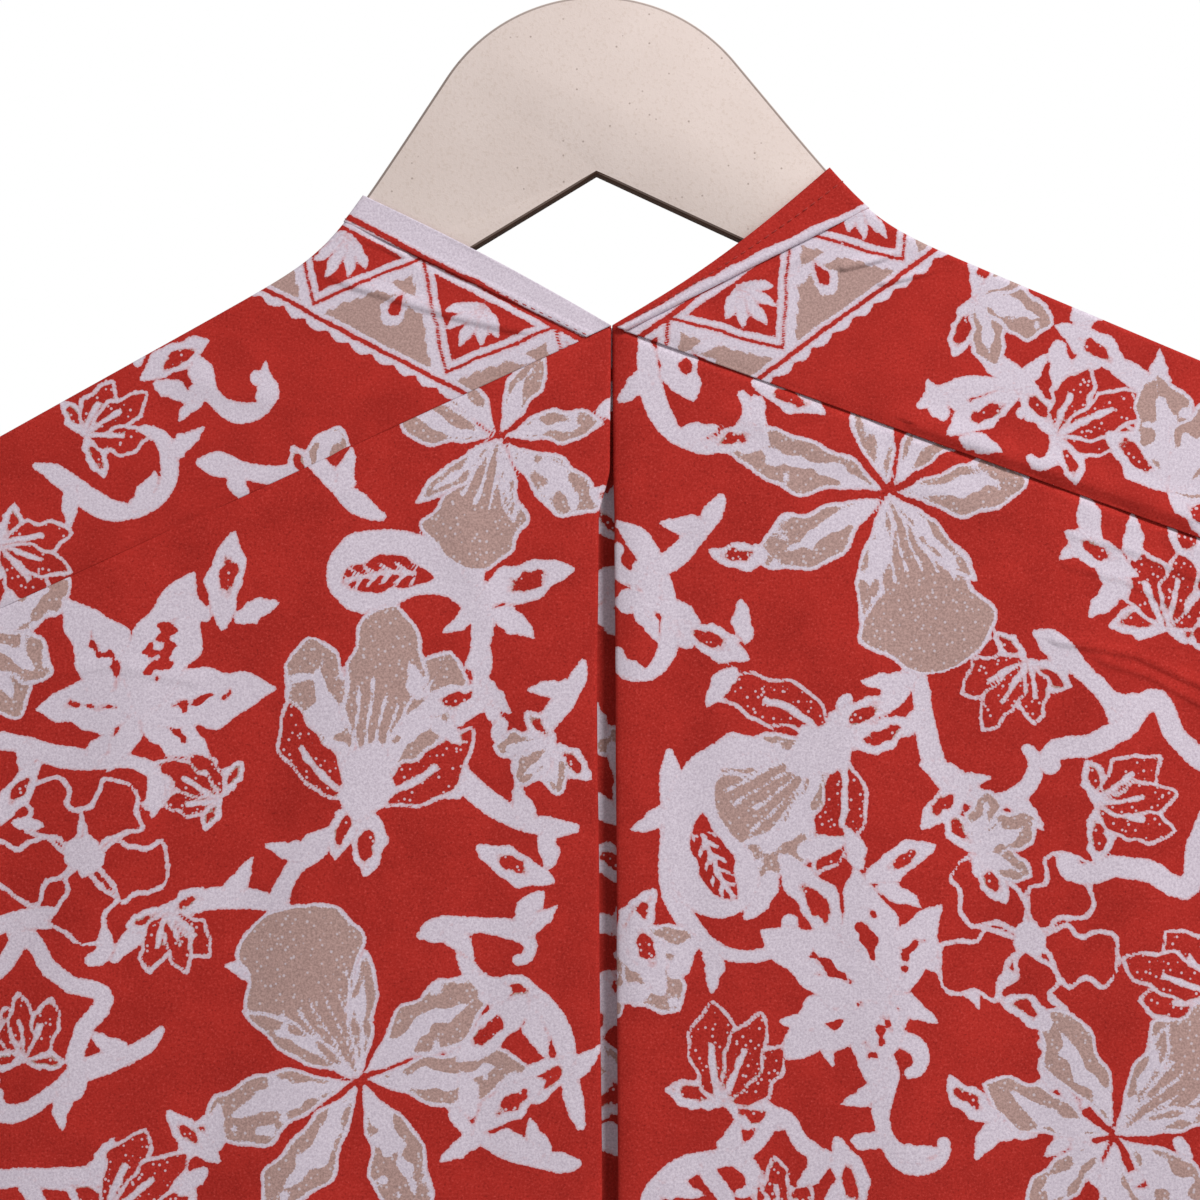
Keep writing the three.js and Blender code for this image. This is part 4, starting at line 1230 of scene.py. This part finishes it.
def over_plate(top, back, front, down, sag=0.0):
    """Columns of cloth over the plate. down is -1 at the back seam, 0 on the shoulder and 1 at the
    front seam; top, back and front are (x, z) for each column, and sag lowers the back between."""
    points = []
    for v in down:
        face = -1 if v < 0 else 1
        foot = back if v < 0 else front
        length = top[1] - foot[1]
        # The first tenth of the way goes round the plate's edge.
        turn = min(1, abs(v) / 0.1) * math.pi / 2
        fall = BEND * (1 - math.cos(turn)) + (length - BEND) * max(0, (abs(v) - 0.1) / 0.9)
        depth = (HALF_DEPTH - BEND + BEND * math.sin(turn)) * min(1, abs(v) / 0.02)
        x = mix(top[0], foot[0], fall / length)
        z = top[1] - fall - (v < 0) * sag * np.sin(math.pi * fall / length)
        y = face * (depth + swell_at(foot[1]) * ease(fall / length))
        points.append(np.stack([x, y, z], -1))
    return np.stack(points, 1)


def yoke_down(back, front):
    bend = np.linspace(0, 0.1, 6)[1:]
    behind = np.linspace(0.1, 1, back + 1)[1:]
    before = np.linspace(0.1, 1, front + 1)[1:]
    return np.concatenate([-behind[::-1], -bend[::-1], [-0.012, 0, 0.012], bend, before])


YOKE_CREASES = {-1: [
    ([(-112, -34), (-98, -33), (-86, -29.5), (-75, -25)], 1.8, 0.5, 1.3),
    ([(-110, -21), (-94, -14.5), (-78, -9.5), (-58, -3.5), (-34, 2)], 3.5, 1.0, 1.1),
    ([(-150, 20), (-110, 30), (-70, 22)], 6, 5, 0.7),
]}


def printed(grid):
    """The flat place of cloth over the shoulder: the front half runs on upwards from the fold."""
    x, y, z = grid[..., 0], grid[..., 1], grid[..., 2]
    return np.stack([x - CENTRE, np.where(y < 0, BACK_POINT - z, z - BACK_POINT - 120)], -1)


def yoke_grid(side, across, down):
    corners = neck_corners(side)
    reach = mix(corners["band_top"], ARM_REACH, across)
    top = np.array(shoulder(side, reach))
    start = front_start(side)
    end = side_line(side, TIP[side][1])
    back_at = mix(corners["band_back"][0], end, across)
    front_at = mix(start[0], end, across)
    clear = -side * TUCKED * (1 - across)
    back = np.array([back_at + clear, seam_line(side, back_at) + SEAM_GAP / 2])
    fall = start[1] - SEAM_SLOPE[side] * np.abs(front_at - start[0])
    front = np.array([front_at + clear, fall + SEAM_GAP / 2])
    top = top + [clear, 0 * clear]
    grid = over_plate(top, back, front, down)
    face = np.where(grid[..., 1] < 0, -1, 1)
    above = grid[..., 2] - np.where(face < 0, back[1][:, None], front[1][:, None])
    on_flat = ease((top[1][:, None] - grid[..., 2] - 1.5) / 8)
    lift = seam_tuck(above, grid[..., 0], 31 + side) + 0.2 * drift(grid[..., 0], grid[..., 2], 17, 8)
    lift += (face < 0) * crease_lines(YOKE_CREASES[side], grid[..., 0], grid[..., 2])
    # It dips into the seam with the neck band.
    lift -= 1.15 * np.exp(-((np.abs(grid[..., 0] - grid[:1, :, 0]) / 1.8) ** 2))
    grid[..., 1] += face * lift * on_flat
    return grid, printed(grid)


YOKE_PRINT = {-1: [
    ("vine", -210, 50, 10, 80, -0.4, 0.6),
    ("vine", -200, 70, 100, 60, 0.5, 0.3),
    ("vine", -150, 50, 350, 60, 0.2, 0.4),
    ("vine", -150, 10, 80, 50, -1.9, 0.1),
    ("bud", -190, 40, 330, 0.8),
    ("sprig", -170, 20, 320, 0.8),
    ("petals", -110, 60, 340, 0.7),
    ("bud", -220, 80, 20, 0.8),
    ("panel", -1),
]}
FRONT_PRINT = repeats(LEFT_PRINT, -2, 0, FRONT_SHIFT)


def add_yoke(side):
    outer = yoke_grid(side, np.linspace(0, 1, 221), yoke_down(130, 50))
    inner = yoke_grid(side, np.linspace(0, 1, 81), yoke_down(45, 25))
    look = {"dotted": 0.0, "before": FRONT_PRINT}
    yoke = add_cloth("yoke_" + SIDES[side], [outer], inner, side, [(YOKE_PRINT[side], 0j)], **look)


add_yoke(-1)

# ---- Right yoke ----
# The right shoulder's piece, cut and sewn as the left one is. Two short tucks run out from the band
# and a soft roll lies along its back seam.
YOKE_CREASES[1] = [
    ([(84, -20.5), (98, -24), (116, -33)], 2.2, 0.5, 1.4),
    ([(98, -15), (114, -19), (134, -27)], 1.8, 0.6, 1.0),
    ([(22, -4), (44, -14), (70, -25)], 1.6, 1.2, 0.5),
    ([(110, 36), (140, 46), (165, 54.5), (208, 69.5)], 6, 3, 1.5),
]
YOKE_PRINT[1] = [
    ("vine", 210, 30, 190, 60, 0.6, 0.3),
    ("vine", 110, 30, 320, 50, 0.9, 0.2),
    ("petals", 130, -10, 20, 0.8),
    ("bud", 160, 40, 330, 1.0),
    ("sprig", 120, 40, 320, 0.8),
    ("petals", 200, 60, 310, 1.1),
    ("sprig", 160, 0, 30, 0.9),
    ("vine", 130, 10, 20, 60, 0.9, 0.1),
    ("panel", 1),
]
add_yoke(1)

# ---- Left neck band ----
# A folded strip of the cotton round the left of the neck, from the back point over the hanger to the
# front point. It is topstitched along its outer edge to the yoke and the front.
FOLD_PROUD = {-1: 0.3, 1: 0.9}  # how far the lower edge of the band stands off the yoke
STITCHED = {-1: 0.9, 1: 0.32}  # where the stitches run across the band


def band_grid(side, across, down):
    corners = neck_corners(side)
    top = np.array(shoulder(side, mix(corners["top"], corners["band_top"], across)))

    def between(a, b):
        return np.array([mix(start, end, across) for start, end in zip(corners[a], corners[b])])

    back, front = between("back", "band_back"), between("front", "band_front")
    grid = over_plate(top, back, front, down, NECK_SAG[side] * (1 - across))
    face = np.where(grid[..., 1] < 0, -1, 1)
    on_flat = ease((top[1][:, None] - grid[..., 2] - 1.5) / 8)
    width = arc_lengths(grid)
    left = width[-1] - width
    roll = FOLD_PROUD[side] * (1 - np.clip((left - 1.6) / 1.6, -1, 1) ** 2) * (left < 3.2)
    pull = 0.25 * drift(grid[..., 0], grid[..., 2], 9, 15) * ease(width / 2)
    grid[..., 1] += face * (roll + pull) * on_flat
    return grid, printed(grid)


def add_band(side, row):
    outer = band_grid(side, np.linspace(0, 1, 25), yoke_down(130, 90))
    inner = band_grid(side, np.linspace(0, 1, 9), yoke_down(50, 40))
    look = {"slot": "neck_band_cloth", "dotted": 0.0, "before": FRONT_PRINT}
    band = add_cloth("neck_band_" + SIDES[side], [outer], inner, side, [([row], 0j)], **look)
    seam, _ = band_grid(side, beside(STITCHED[side], 0.03), yoke_down(130, 90))
    seam = seam.swapaxes(0, 1)
    stitches = add_stitches("neck_stitches_" + SIDES[side], seam, -side)


add_band(-1, ("panel", -1))

# ---- Right neck band ----
# The strip round the right of the neck, wider at the shoulder. It is red to its fold line, with a
# pale edge that stands off the yoke, and is topstitched near the neck.
add_band(1, ("fold", 1))

# ---- Left sleeve ----
# A short wide tube of the cotton, sewn to the yoke, back and front round the armhole and closed by a
# seam under the arm. It falls from the hanger's end and is hemmed at the cuff.
ARMHOLE = 225.0  # from the shoulder's end to the underarm seam
CUFF_DEPTH = 36.0  # half the sleeve's depth at its cuff
SLEEVE_TOP = [(0, 0), (70, 45), (128, 180)]
SLEEVE_UNDER = [(0, 0), (22, 20), (56, 90)]


def bezier(rows, t):
    a, b, c = (np.array(r, float)[:, None] for r in rows)
    return (1 - t) ** 2 * a + 2 * t * (1 - t) * b + t**2 * c


def sleeve_grid(side, around, along):
    """around is 0 at the underarm seam, half way at the shoulder's end and 1 at the seam again."""
    w, t = np.meshgrid(around, along, indexing="ij")
    turn = 2 * math.pi * (w - 0.5)
    share = (1 - np.cos(turn)) / 2
    z_ring = TIP[side][1] - ARMHOLE * share
    ring = body_depth(side, -1, side_line(side, z_ring), z_ring)
    ring = ring * ease(np.abs(np.sin(turn)) / 0.12) * np.sign(np.sin(turn)) * -1
    ends = zip(bezier(SLEEVE_TOP, along), bezier(SLEEVE_UNDER, along))
    out, fall = (mix(top, under, share) for top, under in ends)
    x = side_line(side, z_ring) + side * (SEAM_GAP + WALL / 2 + out)
    round_depth = -np.sin(turn) * mix(HALF_DEPTH, CUFF_DEPTH, ease(t))
    grid = np.stack([x, mix(ring, round_depth, ease(t / 0.45)), z_ring - fall], -1)
    return grid, np.stack([arc_lengths(grid), arc_lengths(grid.swapaxes(0, 1)).T], -1)


def add_sleeve(side):
    outer = sleeve_grid(side, np.linspace(0.001, 0.999, 181), np.linspace(0, 1, 71))
    inner = sleeve_grid(side, np.linspace(0.001, 0.999, 91), np.linspace(0, 1, 36))
    layers = repeats(LEFT_PRINT, -1, 3, 40 - 60j)
    sleeve = add_cloth("sleeve_" + SIDES[side], [outer], inner, side, layers, through=True)
    cuff, _ = sleeve_grid(side, np.linspace(0.01, 0.99, 161), beside(0.95, 0.01))
    stitches = add_stitches("cuff_stitches_" + SIDES[side], cuff, side)


add_sleeve(-1)

# ---- Right sleeve ----
# The same tube on the right side, which hangs 25 mm higher with the tilted hanger, sewn and hemmed
# as the left one is.
add_sleeve(1)
